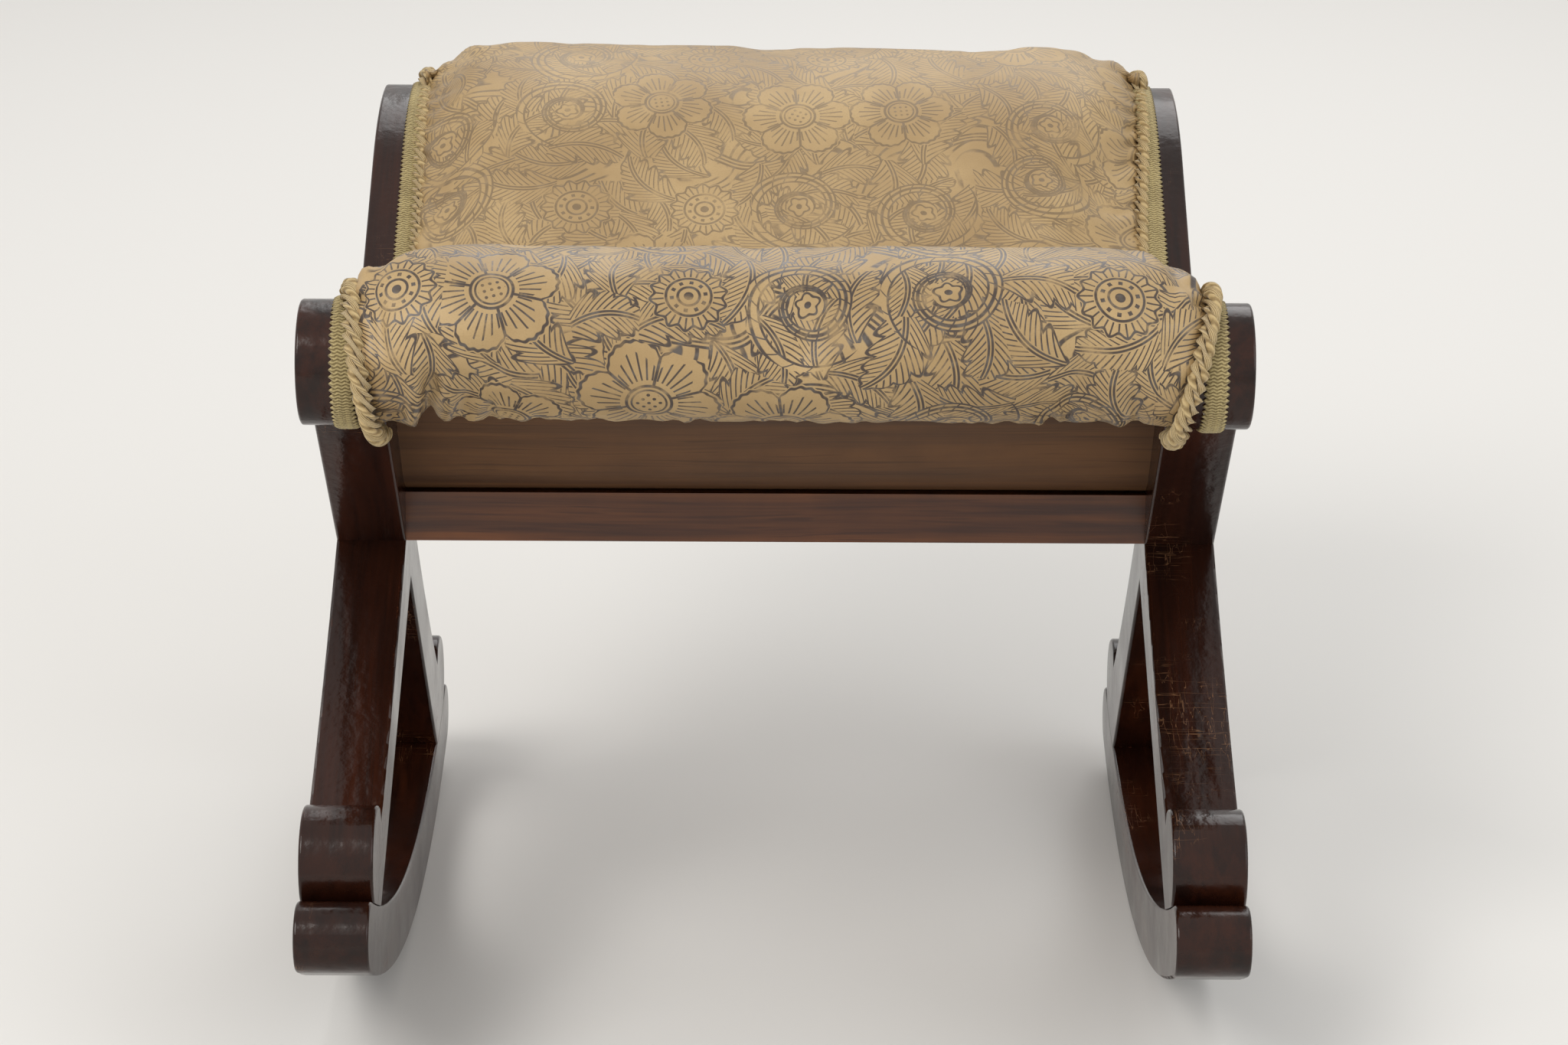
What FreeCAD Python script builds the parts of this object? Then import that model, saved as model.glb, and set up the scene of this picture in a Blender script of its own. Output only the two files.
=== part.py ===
import FreeCAD, Part
import math
import os

# Rocking footstool with a cradle seat between two crossed side frames on curved runners.
# Millimetres, +X to the right as seen from the front, +Y to the back, +Z up.
# The origin lies on the floor, below the middle of the whole stool.
# The side frame is drawn square on its runners; LEAN_ANGLE then rolls it back to where it comes to rest.

# Overall
STOOL_WIDTH = 480.0
FRAME_THICKNESS = 38.0
EDGE_ROUND = 1.6
LEAN_ANGLE = 8.0

# Runner: an arc of constant depth with rounded ends, worn flat where the stool comes to rest
RUNNER_RADIUS = 640.0
RUNNER_DEPTH = 36.0
RUNNER_REACH = 228.0
WEAR_DEPTH = 0.4

# Crossing of the side frame
CROSS_Y = 10.0
CREASE_HALF = 26.0
CREASE_HEIGHT = 221.0
APEX_DROP = 26.5

# Foot scrolls
FOOT_RADIUS = 28.0
FOOT_REACH = 190.0
FOOT_SEAT = 4.0
FOOT_NOTCH = 3.0
NOTCH_ANGLE = 138.0
LIP_ANGLE = 122.0
HEEL_SETBACK = 5.6
LEG_HOLLOW = 3.0
TOE_INSET_FRONT = 12.0
TOE_INSET_REAR = 26.0

# Cradle: flat bottom, straight slope, wide bend, scroll; its rise is measured from the crease
CRADLE_RISE = 35.0
CRADLE_HALF = 25.0
SCROLL_RADIUS = 32.0
FRONT_SCROLL_REACH = 169.0
FRONT_SCROLL_RISE = 122.5
FRONT_SLOPE_ANGLE = 49.0
REAR_SCROLL_REACH = 285.5
REAR_SCROLL_RISE = 187.0
REAR_SLOPE_ANGLE = 40.3
KNEE_RADIUS = 36.0
BEND_RADIUS = 150.0

# Deck boards and rails between the frames
DECK_THICKNESS = 8.0
DECK_HOUSING = 8.0
RAIL_THICKNESS = 22.0
RAIL_SETBACK = 1.0
TENON_LENGTH = 12.0
TENON_SHOULDER = 5.0
ROLL_RAIL_RADIUS = 20.0
ROLL_TENON_RADIUS = 12.0

# Upholstery
SOFT_GAP = 0.3
COVER_THICKNESS = 1.5
ROLL_SWELL = 10.5
ROLL_RISE = 14.5
ROLL_END_SWELL = 5.0
ROLL_END_RISE = 5.5
ROLL_SHOULDER = 52.0
SHOULDER_STEPS = 5
SEAT_PADDING = 22.0
SEAT_EDGE_PADDING = 8.0
SEAT_HOLLOW_RADIUS = 70.0

# Trimming
CORD_RADIUS = 4.2
BRAID_WIDTH = 12.0
BRAID_THICKNESS = 1.6
TRIM_END_ANGLE = -98.0

# Dowels, nails and tacks
DOWEL_RADIUS = 4.5
DOWEL_LENGTH = 30.0
NECK_DOWEL_LENGTH = 24.0
DOWEL_COVER = 1.0
DOWEL_GAP = 0.05
NAIL_RADIUS = 1.0
NAIL_LENGTH = 20.0
NAIL_HEAD_RADIUS = 2.2
NAIL_HEAD_DEPTH = 1.0
NAIL_INSET = 14.0
NAILS_PER_END = 2
TACK_SPACING = 26.0
TACK_RADIUS = 0.8
TACK_LENGTH = 9.0
TACK_HEAD_RADIUS = 2.4
TACK_HEAD_DEPTH = 0.6
TACK_SINK = 0.2

# Worked out from the sizes above
APEX_HEIGHT = CREASE_HEIGHT - APEX_DROP
CRADLE_HEIGHT = CREASE_HEIGHT + CRADLE_RISE
FRAME_INNER = STOOL_WIDTH / 2 - FRAME_THICKNESS
FRAME_MIDDLE = STOOL_WIDTH / 2 - FRAME_THICKNESS / 2
RUNNER_TOP_RADIUS = RUNNER_RADIUS - RUNNER_DEPTH
BRAID_INNER = FRAME_INNER + 2 * CORD_RADIUS + 2 * SOFT_GAP
FRONT, REAR = -1, 1
LEFT, RIGHT = -1, 1
LARGEST_ARC = 120
TOUCH = 0.01
UP = FreeCAD.Vector(0, 0, 1)
ACROSS = FreeCAD.Vector(1, 0, 0)
BACK = FreeCAD.Vector(0, 1, 0)


def at(y, z, x=0.0):
    return FreeCAD.Vector(x, y, z)


def line(start, end):
    return Part.LineSegment(start, end).toShape()


def arc(start, middle, end):
    return Part.Arc(start, middle, end).toShape()


def round_about(centre, radius, start, end):
    """Arcs of equal length about a centre, from one angle to another in degrees."""
    count = max(1, math.ceil(abs(end - start) / LARGEST_ARC))
    step = (end - start) / count

    def spot(angle):
        turn = math.radians(angle)
        return centre + at(math.cos(turn), math.sin(turn)) * radius

    starts = [start + step * number for number in range(count)]
    return [arc(spot(a), spot(a + step / 2), spot(a + step)) for a in starts]


def slab(edges, x_low, x_high):
    wire = Part.Wire(Part.__sortEdges__(edges))
    wire.translate(ACROSS * (x_low - wire.BoundBox.XMin))
    return Part.Face(wire).extrude(ACROSS * (x_high - x_low))


def runner_top(y):
    return RUNNER_RADIUS - math.sqrt(RUNNER_TOP_RADIUS ** 2 - y ** 2)


def placed(shape, end):
    """A shape drawn with the stool's outside towards +Y, set on the front or the rear of the crossing."""
    if end == FRONT:
        shape = shape.mirror(at(0, 0), BACK)
    shape.translate(BACK * CROSS_Y)
    return shape


class Cradle:
    """Half of the cradle's upper edge, seen with its scroll to the right of the crossing."""

    def __init__(self, reach, rise, slope):
        self.scroll = at(reach, CREASE_HEIGHT + rise)
        self.slope = slope
        turn = math.radians(slope)
        self.along = at(math.cos(turn), math.sin(turn))
        self.normal = at(-math.sin(turn), math.cos(turn))
        knee_run = KNEE_RADIUS * math.tan(turn / 2)
        self.knee = at(CRADLE_HALF - knee_run, CRADLE_HEIGHT + KNEE_RADIUS)
        corner = at(CRADLE_HALF, CRADLE_HEIGHT)
        span = self.scroll - corner
        depth = -span.dot(self.normal)
        inner = BEND_RADIUS - SCROLL_RADIUS
        run = span.dot(self.along) - math.sqrt(inner ** 2 - (BEND_RADIUS - depth) ** 2)
        self.bend = corner + self.along * run - self.normal * BEND_RADIUS
        to_scroll = self.scroll - self.bend
        self.top_angle = math.degrees(math.atan2(to_scroll.z, to_scroll.y))

    def path(self, offset, end_angle=None):
        """The edge moved outwards by an offset, from the crossing to the scroll, or on to an angle round it."""
        start = at(0, CRADLE_HEIGHT + offset)
        knee = round_about(self.knee, KNEE_RADIUS - offset, -90, self.slope - 90)
        bend = round_about(self.bend, BEND_RADIUS + offset, self.slope + 90, self.top_angle)
        flat = line(start, knee[0].Vertexes[0].Point)
        straight = line(knee[-1].Vertexes[-1].Point, bend[0].Vertexes[0].Point)
        edge = [flat] + knee + [straight] + bend
        if end_angle is not None:
            edge += round_about(self.scroll, SCROLL_RADIUS + offset, self.top_angle, end_angle)
        return edge

    def heel_angle(self):
        """Where the arm's outer edge, which aims at the scroll's centre, meets the scroll."""
        away = at(CREASE_HALF, CREASE_HEIGHT) - self.scroll
        return math.degrees(math.atan2(away.z, away.y))


CRADLES = {
    FRONT: Cradle(FRONT_SCROLL_REACH, FRONT_SCROLL_RISE, FRONT_SLOPE_ANGLE),
    REAR: Cradle(REAR_SCROLL_REACH, REAR_SCROLL_RISE, REAR_SLOPE_ANGLE),
}


def frame_side(side):
    """The lower and upper X of a side frame."""
    inner, outer = side * FRAME_INNER, side * STOOL_WIDTH / 2
    return min(inner, outer), max(inner, outer)


def rounded(solid, is_joint):
    """The solid with its long edges eased, apart from those that lie in a joint."""
    x_faces = (solid.BoundBox.XMin, solid.BoundBox.XMax)
    chosen = []
    for edge in solid.Edges:
        box = edge.BoundBox
        middle = edge.valueAt((edge.FirstParameter + edge.LastParameter) / 2)
        flat = box.XLength < TOUCH and min(abs(middle.x - x) for x in x_faces) < TOUCH
        if flat and not is_joint(middle):
            chosen.append(edge)
    return solid.makeFillet(EDGE_ROUND, chosen)


def runner(side):
    centre = at(0, RUNNER_RADIUS)
    middle_radius = RUNNER_RADIUS - RUNNER_DEPTH / 2
    reach = math.degrees(math.asin(RUNNER_REACH / middle_radius))
    edges = round_about(centre, RUNNER_RADIUS, -90 - reach, -90 + reach)
    edges += round_about(centre, RUNNER_TOP_RADIUS, -90 - reach, -90 + reach)
    for angle in (-90 - reach, -90 + reach):
        turn = math.radians(angle)
        end = centre + at(math.cos(turn), math.sin(turn)) * middle_radius
        away = 180 if angle < -90 else 0
        middle = angle + 90 + away
        edges += round_about(end, RUNNER_DEPTH / 2, middle - 90, middle + 90)
    solid = slab(edges, *frame_side(side))
    return rounded(solid, lambda spot: False).cut(worn_away(side))


def worn_away(side):
    """What the floor has rubbed off the runner below its resting place."""
    x_low, x_high = frame_side(side)
    depth = RUNNER_DEPTH
    worn = box_between(x_low - TOUCH, x_high + TOUCH, -RUNNER_REACH, RUNNER_REACH, -depth, WEAR_DEPTH)
    worn.rotate(at(0, RUNNER_RADIUS), ACROSS, LEAN_ANGLE)
    return worn


def leg_outline(end):
    """The leg seen with its foot to the right; lengths are measured from the crossing."""
    shift = -end * CROSS_Y
    foot_y = FOOT_REACH + shift
    foot = at(foot_y, runner_top(FOOT_REACH) + FOOT_RADIUS - FOOT_SEAT)
    inset = TOE_INSET_FRONT if end == FRONT else TOE_INSET_REAR
    toe_y = foot_y - inset
    heel_y = foot_y + FOOT_RADIUS - HEEL_SETBACK
    notch_turn = math.radians(NOTCH_ANGLE)
    notch = foot + at(math.cos(notch_turn), math.sin(notch_turn)) * (FOOT_RADIUS - FOOT_NOTCH)
    crease = at(CREASE_HALF, CREASE_HEIGHT)
    fall = (notch - crease).normalize()
    belly = (crease + notch) / 2 + at(fall.z, -fall.y) * LEG_HOLLOW
    curl = round_about(foot, FOOT_RADIUS, LIP_ANGLE, 0)
    lip = curl[0].Vertexes[0].Point
    nose = foot + at(FOOT_RADIUS, 0)

    def on_runner(y):
        return at(y, runner_top(y - shift))

    heel, toe = on_runner(heel_y), on_runner(toe_y)
    inwards, drop = nose.y - heel.y, nose.z - heel.z
    cheek_radius = (inwards ** 2 + drop ** 2) / (2 * inwards)
    cheek_turn = math.degrees(math.asin(drop / cheek_radius))
    cheek = round_about(nose - at(cheek_radius, 0), cheek_radius, 0, -cheek_turn)
    apex = at(0, APEX_HEIGHT)
    top = at(0, CREASE_HEIGHT)
    edges = [line(top, crease), arc(crease, belly, notch), line(notch, lip)] + curl + cheek
    edges += [arc(heel, on_runner((heel_y + toe_y) / 2), toe)]
    edges += [line(toe, apex), line(apex, top)]
    return edges


def leg(side, end):
    solid = slab(leg_outline(end), *frame_side(side))
    centre = at(-end * CROSS_Y, RUNNER_RADIUS)

    def in_joint(spot):
        on_crossing = abs(spot.y) < TOUCH or abs(spot.z - CREASE_HEIGHT) < TOUCH
        reach = math.hypot(spot.y - centre.y, spot.z - centre.z)
        return on_crossing or abs(reach - RUNNER_TOP_RADIUS) < TOUCH

    solid = placed(rounded(solid, in_joint), end)
    return solid.cut(dowel_space(side))


def arm(side, end):
    cradle = CRADLES[end]
    path = cradle.path(0.0, cradle.heel_angle())
    heel = path[-1].Vertexes[-1].Point
    crease = at(CREASE_HALF, CREASE_HEIGHT)
    foot = at(0, CREASE_HEIGHT)
    edges = path + [line(heel, crease), line(crease, foot), line(foot, at(0, CRADLE_HEIGHT))]
    solid = slab(edges, *frame_side(side))

    def in_joint(spot):
        return abs(spot.y) < TOUCH or abs(spot.z - CREASE_HEIGHT) < TOUCH

    solid = placed(rounded(solid, in_joint), end)
    solid = solid.cut(deck_space()).cut(dowel_space(side)).cut(nail_space()).cut(tack_space(side))
    for rail in (cross_rail(end), roll_rail(end)):
        solid = solid.cut(rail)
    return solid


def deck_profile(end, top, bottom):
    """Closed outline between two offsets of the cradle's edge, from the crossing to the scroll's top."""
    cradle = CRADLES[end]
    upper = cradle.path(top)
    lower = cradle.path(bottom)
    closing = [line(upper[0].Vertexes[0].Point, lower[0].Vertexes[0].Point)]
    closing += [line(upper[-1].Vertexes[-1].Point, lower[-1].Vertexes[-1].Point)]
    return upper + lower + closing


def deck_board(end):
    reach = FRAME_INNER + DECK_HOUSING
    solid = placed(slab(deck_profile(end, 0.0, -DECK_THICKNESS), -reach, reach), end)
    return solid.cut(nail_space())


def deck_space():
    reach = FRAME_INNER + DECK_HOUSING
    boards = []
    for end in (FRONT, REAR):
        board = slab(deck_profile(end, EDGE_ROUND, -DECK_THICKNESS), -reach, reach)
        boards.append(placed(board, end))
    return boards[0].fuse(boards[1])


def box_between(x_low, x_high, y_low, y_high, z_low, z_high):
    return Part.makeBox(x_high - x_low, y_high - y_low, z_high - z_low, at(y_low, z_low, x_low))


def cross_rail(end):
    """A rail under the deck's flat, with a tenon into each side frame."""
    face = CROSS_Y + end * (CREASE_HALF - RAIL_SETBACK)
    back = face - end * RAIL_THICKNESS
    y_low, y_high = min(face, back), max(face, back)
    z_low, z_high = CREASE_HEIGHT, CRADLE_HEIGHT - DECK_THICKNESS
    body = box_between(-FRAME_INNER, FRAME_INNER, y_low, y_high, z_low, z_high)
    reach = FRAME_INNER + TENON_LENGTH
    inset = TENON_SHOULDER
    tenon = box_between(-reach, reach, y_low + inset, y_high - inset, z_low + inset, z_high - inset)
    rail = body.fuse(tenon).removeSplitter()
    return rail.cut(deck_space())


def roll_rail(end):
    """The round rail inside a roll, turned down to a tenon that sits in each scroll."""
    cradle = CRADLES[end]
    y = CROSS_Y + end * cradle.scroll.y
    z = cradle.scroll.z
    body = Part.makeCylinder(ROLL_RAIL_RADIUS, 2 * FRAME_INNER, at(y, z, -FRAME_INNER), ACROSS)
    reach = FRAME_INNER + TENON_LENGTH
    tenon = Part.makeCylinder(ROLL_TENON_RADIUS, 2 * reach, at(y, z, -reach), ACROSS)
    return body.fuse(tenon).removeSplitter()


def fullness(x):
    """How far the padding has swelled at X, from 0 at the side frames to 1 over the middle."""
    flat = FRAME_INNER - ROLL_SHOULDER
    past = max(0.0, abs(x) - flat) / ROLL_SHOULDER
    return math.sqrt(1 - min(1.0, past) ** 2)


def stations(reach):
    """Places along X, closer together where the padding draws in towards a side frame."""
    flat = FRAME_INNER - ROLL_SHOULDER
    turns = [math.radians(90) * step / SHOULDER_STEPS for step in range(SHOULDER_STEPS)]
    right = [flat + ROLL_SHOULDER * math.sin(turn) for turn in turns] + [reach]
    return [-x for x in right[::-1]] + right


def circles_meet(first, first_radius, second, second_radius):
    """Where two circles cross, on the side nearer to the crossing of the frame."""
    span = second - first
    gap = span.Length
    run = (gap ** 2 + first_radius ** 2 - second_radius ** 2) / (2 * gap)
    rise = math.sqrt(first_radius ** 2 - run ** 2)
    along = span.normalize()
    spots = [first + along * run + at(-along.z, along.y) * rise * turn for turn in (1, -1)]
    return min(spots, key=lambda spot: spot.y)


def angle_of(spot, centre):
    return math.degrees(math.atan2(spot.z - centre.z, spot.y - centre.y))


def set_arcs(end, centre, radius, start, finish, count):
    """Arcs drawn looking outwards, then set on the front or the rear of the crossing."""
    step = (finish - start) / count

    def spot(angle):
        turn = math.radians(angle)
        drawn = centre + at(math.cos(turn), math.sin(turn)) * radius
        return at(CROSS_Y + end * drawn.y, drawn.z)

    starts = [start + step * number for number in range(count)]
    return [arc(spot(a), spot(a + step / 2), spot(a + step)) for a in starts]


def start_of(edges):
    return edges[0].Vertexes[0].Point


def finish_of(edges):
    return edges[-1].Vertexes[-1].Point


def padded_half(end, full, inset, depth):
    """One roll's outline with the padding that leads to it and a line at a depth inside the board."""
    cradle = CRADLES[end]
    radius = SCROLL_RADIUS + ROLL_END_SWELL + full * (ROLL_SWELL - ROLL_END_SWELL) - inset
    rise = ROLL_END_RISE + full * (ROLL_RISE - ROLL_END_RISE)
    padding = SEAT_EDGE_PADDING + full * (SEAT_PADDING - SEAT_EDGE_PADDING) - inset
    centre = cradle.scroll + at(0, rise)
    upper, lower = BEND_RADIUS + padding, BEND_RADIUS - depth
    top = circles_meet(centre, radius, cradle.bend, upper)
    under = circles_meet(centre, radius, cradle.bend, lower)
    turn = angle_of(top, centre)
    under_turn = angle_of(under, centre) % 360
    roll = set_arcs(end, centre, radius, turn, under_turn - 360, 4)
    above = set_arcs(end, cradle.bend, upper, cradle.slope + 90, angle_of(top, cradle.bend), 1)
    below = set_arcs(end, cradle.bend, lower, cradle.slope + 90, angle_of(under, cradle.bend), 1)
    knee = set_arcs(end, cradle.knee, KNEE_RADIUS + depth, -90, cradle.slope - 90, 1)
    return above, roll, below, knee


def padded_outline(full, inset, depth):
    """Both rolls and the seat between them as one closed outline."""
    front_above, front_roll, front_below, front_knee = padded_half(FRONT, full, inset, depth)
    rear_above, rear_roll, rear_below, rear_knee = padded_half(REAR, full, inset, depth)
    slopes = {end: at(end * CRADLES[end].along.y, CRADLES[end].along.z) for end in (FRONT, REAR)}
    front_top, rear_top = start_of(front_above), start_of(rear_above)
    gap = rear_top - front_top
    cross = slopes[FRONT].y * slopes[REAR].z - slopes[FRONT].z * slopes[REAR].y
    low = front_top + slopes[FRONT] * ((gap.y * slopes[REAR].z - gap.z * slopes[REAR].y) / cross)
    half_turn = math.radians((FRONT_SLOPE_ANGLE + REAR_SLOPE_ANGLE) / 2)
    tangent = SEAT_HOLLOW_RADIUS * math.tan(half_turn)
    front_low, rear_low = low + slopes[FRONT] * tangent, low + slopes[REAR] * tangent
    lift = SEAT_HOLLOW_RADIUS * (1 / math.cos(half_turn) - 1)
    bottom = low + (slopes[FRONT] + slopes[REAR]).normalize() * lift
    edges = front_roll[::-1] + front_above + [line(front_top, front_low)]
    edges += [arc(front_low, bottom, rear_low), line(rear_low, rear_top)] + rear_above + rear_roll
    edges += rear_below + [line(start_of(rear_below), finish_of(rear_knee))] + rear_knee
    edges += [line(start_of(rear_knee), start_of(front_knee))] + front_knee
    edges += [line(finish_of(front_knee), start_of(front_below))] + front_below
    return edges


def padding_solid(inset, reach, depth=DECK_THICKNESS / 2):
    wires = []
    for x in stations(reach):
        wire = Part.Wire(Part.__sortEdges__(padded_outline(fullness(x), inset, depth)))
        wire.translate(ACROSS * x)
        wires.append(wire)
    return Part.makeLoft(wires, True, True)


def roll_core(end):
    """The board and the rail that the padding is fitted round, with its clearance."""
    cradle = CRADLES[end]
    y = CROSS_Y + end * cradle.scroll.y
    start = at(y, cradle.scroll.z, -STOOL_WIDTH)
    rail = Part.makeCylinder(ROLL_RAIL_RADIUS + SOFT_GAP, 2 * STOOL_WIDTH, start, ACROSS)
    outline = deck_profile(end, SOFT_GAP, -DECK_THICKNESS - SOFT_GAP)
    board = placed(slab(outline, -STOOL_WIDTH, STOOL_WIDTH), end)
    return rail.fuse(board)


def past_bend(end, gap):
    """A block that holds all of the padding beyond the start of a bend."""
    cradle = CRADLES[end]
    start = cradle.bend + cradle.normal * BEND_RADIUS
    size = STOOL_WIDTH
    block = Part.makeBox(2 * size, size, 2 * size, at(gap, -size, -size))
    block.rotate(at(0, 0), ACROSS, cradle.slope)
    block.translate(start)
    return placed(block, end)


def soft_parts():
    """Stuffing of both rolls and the seat, and the cover over all three."""
    reach = FRAME_INNER - SOFT_GAP
    past = FRAME_INNER + FRAME_THICKNESS
    core = roll_core(FRONT).fuse(roll_core(REAR))
    stuffing = padding_solid(COVER_THICKNESS + SOFT_GAP, reach).cut(core)
    rolls = {end: stuffing.common(past_bend(end, SOFT_GAP)) for end in (FRONT, REAR)}
    seat = stuffing.cut(past_bend(FRONT, 0.0)).cut(past_bend(REAR, 0.0))
    inside = padding_solid(COVER_THICKNESS, past, DECK_THICKNESS - SOFT_GAP)
    cover = padding_solid(0.0, reach).cut(inside).cut(core)
    return rolls, seat, cover


def trim_half(end, offset):
    return CRADLES[end].path(offset, TRIM_END_ANGLE)


def braid(side):
    """A flat band on the upper edge of a side frame, outside the cord."""
    x_low, x_high = sorted((side * BRAID_INNER, side * (BRAID_INNER + BRAID_WIDTH)))
    halves = []
    for end in (FRONT, REAR):
        outer = trim_half(end, BRAID_THICKNESS)
        inner = trim_half(end, 0.0)
        closing = [line(start_of(outer), start_of(inner)), line(finish_of(outer), finish_of(inner))]
        halves.append(placed(slab(outer + inner + closing, x_low, x_high), end))
    return halves[0].fuse(halves[1]).removeSplitter().cut(tack_space(side))


def tacks(side, gap=0.0):
    """Tacks that hold the cover's turned edge to the side frame, with their heads under the braid."""
    x = side * (BRAID_INNER + BRAID_WIDTH / 2)
    solids = []
    for end in (FRONT, REAR):
        spots = Part.Wire(trim_half(end, 0.0)).discretize(Distance=TACK_SPACING)
        for before, spot, after in zip(spots, spots[1:], spots[2:]):
            run = (after - before).normalize()
            down = at(end * run.z, -run.y)
            neck = at(CROSS_Y + end * spot.y, spot.z, x) + down * TACK_SINK
            shank = Part.makeCylinder(TACK_RADIUS + gap, TACK_LENGTH + gap, neck, down)
            head = Part.makeCylinder(TACK_HEAD_RADIUS + gap, TACK_HEAD_DEPTH + gap, neck, down * -1)
            solids.append(shank.fuse(head).removeSplitter())
    return solids


def tack_space(side):
    solids = tacks(side, DOWEL_GAP)
    return solids[0].multiFuse(solids[1:])


def trim_cord(side):
    """The twisted cord's round envelope, along the joint between cover and side frame."""
    edges = []
    for end in (FRONT, REAR):
        edges += placed(Part.Compound(trim_half(end, CORD_RADIUS)), end).Edges
    path = Part.Wire(Part.__sortEdges__(edges))
    path.translate(ACROSS * side * (FRAME_INNER + CORD_RADIUS + SOFT_GAP))
    first = path.OrderedEdges[0]
    start = path.OrderedVertexes[0].Point
    direction = first.tangentAt(first.FirstParameter)
    circle = Part.Wire(Part.Circle(start, direction, CORD_RADIUS).toShape())
    return path.makePipeShell([circle], True, False)


def radial_dowel(side, y, radius):
    """A dowel across the joint between a foot and its runner, square to the runner."""
    turn = math.degrees(math.asin(y / RUNNER_TOP_RADIUS))
    low = RUNNER_DEPTH - DOWEL_LENGTH / 2
    spot = at(0, low, side * FRAME_MIDDLE)
    dowel = Part.makeCylinder(radius, DOWEL_LENGTH, spot, UP)
    dowel.rotate(at(0, RUNNER_RADIUS), ACROSS, turn)
    return dowel


def foot_dowels(side, gap=0.0):
    spots = (-FOOT_REACH, FOOT_REACH)
    return [radial_dowel(side, y, DOWEL_RADIUS + gap) for y in spots]


def neck_dowels(side, gap=0.0):
    """Dowels that stand in the crossing and join each arm to its leg."""
    low = CREASE_HEIGHT - NECK_DOWEL_LENGTH / 2
    radius = DOWEL_RADIUS + gap
    spots = [at(CROSS_Y + end * CREASE_HALF / 2, low, side * FRAME_MIDDLE) for end in (FRONT, REAR)]
    return [Part.makeCylinder(radius, NECK_DOWEL_LENGTH, spot, UP) for spot in spots]


def arm_dowel(side, gap=0.0):
    """The dowel that joins the two arms through the middle of the cradle."""
    z = CRADLE_HEIGHT - DECK_THICKNESS - DOWEL_COVER - DOWEL_RADIUS
    start = at(CROSS_Y - DOWEL_LENGTH / 2, z, side * FRAME_MIDDLE)
    return [Part.makeCylinder(DOWEL_RADIUS + gap, DOWEL_LENGTH, start, BACK)]


def dowel_space(side):
    dowels = foot_dowels(side, DOWEL_GAP) + neck_dowels(side, DOWEL_GAP) + arm_dowel(side, DOWEL_GAP)
    return dowels[0].multiFuse(dowels[1:])


def nails(gap=0.0):
    """Nails through the ends of the deck boards into the rebates of the side frames."""
    solids = []
    for side in (LEFT, RIGHT):
        for end in (FRONT, REAR):
            cradle = CRADLES[end]
            low = cradle.knee - cradle.normal * KNEE_RADIUS + cradle.along * NAIL_INSET
            high = cradle.bend + cradle.normal * BEND_RADIUS - cradle.along * NAIL_INSET
            for number in range(NAILS_PER_END):
                spot = low + (high - low) * (number / (NAILS_PER_END - 1))
                top = at(CROSS_Y + end * spot.y, spot.z, side * (FRAME_INNER + DECK_HOUSING / 2))
                down = at(-end * cradle.normal.y, -cradle.normal.z)
                shank = Part.makeCylinder(NAIL_RADIUS + gap, NAIL_LENGTH, top, down)
                head = Part.makeCylinder(NAIL_HEAD_RADIUS + gap, NAIL_HEAD_DEPTH, top, down)
                solids.append(shank.fuse(head).removeSplitter())
    return solids


def nail_space():
    solids = nails(DOWEL_GAP)
    return solids[0].multiFuse(solids[1:])


def settle(shapes):
    """Roll the stool back to its rest about the centre of its runners' arc, and centre it on the origin."""
    for shape in shapes:
        shape.rotate(at(0, RUNNER_RADIUS), ACROSS, -LEAN_ANGLE)
    box = Part.Compound(shapes).optimalBoundingBox()
    for shape in shapes:
        shape.translate(at(-(box.YMin + box.YMax) / 2, -WEAR_DEPTH))


def build():
    parts = {}
    for side, name in ((LEFT, "left"), (RIGHT, "right")):
        parts["runner_" + name] = runner(side).cut(dowel_space(side))
        for end, place in ((FRONT, "front"), (REAR, "rear")):
            parts[place + "_leg_" + name] = leg(side, end)
            parts[place + "_arm_" + name] = arm(side, end)
        parts["foot_dowels_" + name] = Part.Compound(foot_dowels(side))
        parts["neck_dowels_" + name] = Part.Compound(neck_dowels(side))
        parts["arm_dowel_" + name] = arm_dowel(side)[0]
        parts["braid_" + name] = braid(side)
        parts["braid_tacks_" + name] = Part.Compound(tacks(side))
        parts["trim_cord_" + name] = trim_cord(side)
    for end, place in ((FRONT, "front"), (REAR, "rear")):
        parts[place + "_rail"] = cross_rail(end)
        parts[place + "_roll_rail"] = roll_rail(end)
        parts[place + "_deck_board"] = deck_board(end)
    parts["deck_nails"] = Part.Compound(nails())
    rolls, seat, cover = soft_parts()
    parts["front_roll_stuffing"] = rolls[FRONT]
    parts["rear_roll_stuffing"] = rolls[REAR]
    parts["seat_stuffing"] = seat
    parts["seat_cover"] = cover
    return parts


def main():
    os.makedirs("parts", exist_ok=True)
    parts = build()
    settle(list(parts.values()))
    for name, shape in parts.items():
        print(name, len(shape.Solids), shape.isValid(), round(shape.Volume / 1000, 1))
        shape.exportStep("parts/" + name + ".step")


main()
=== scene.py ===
import bmesh
import bpy
import math
from bisect import bisect_left
from mathutils import Matrix, Vector
from mathutils.bvhtree import BVHTree


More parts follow.
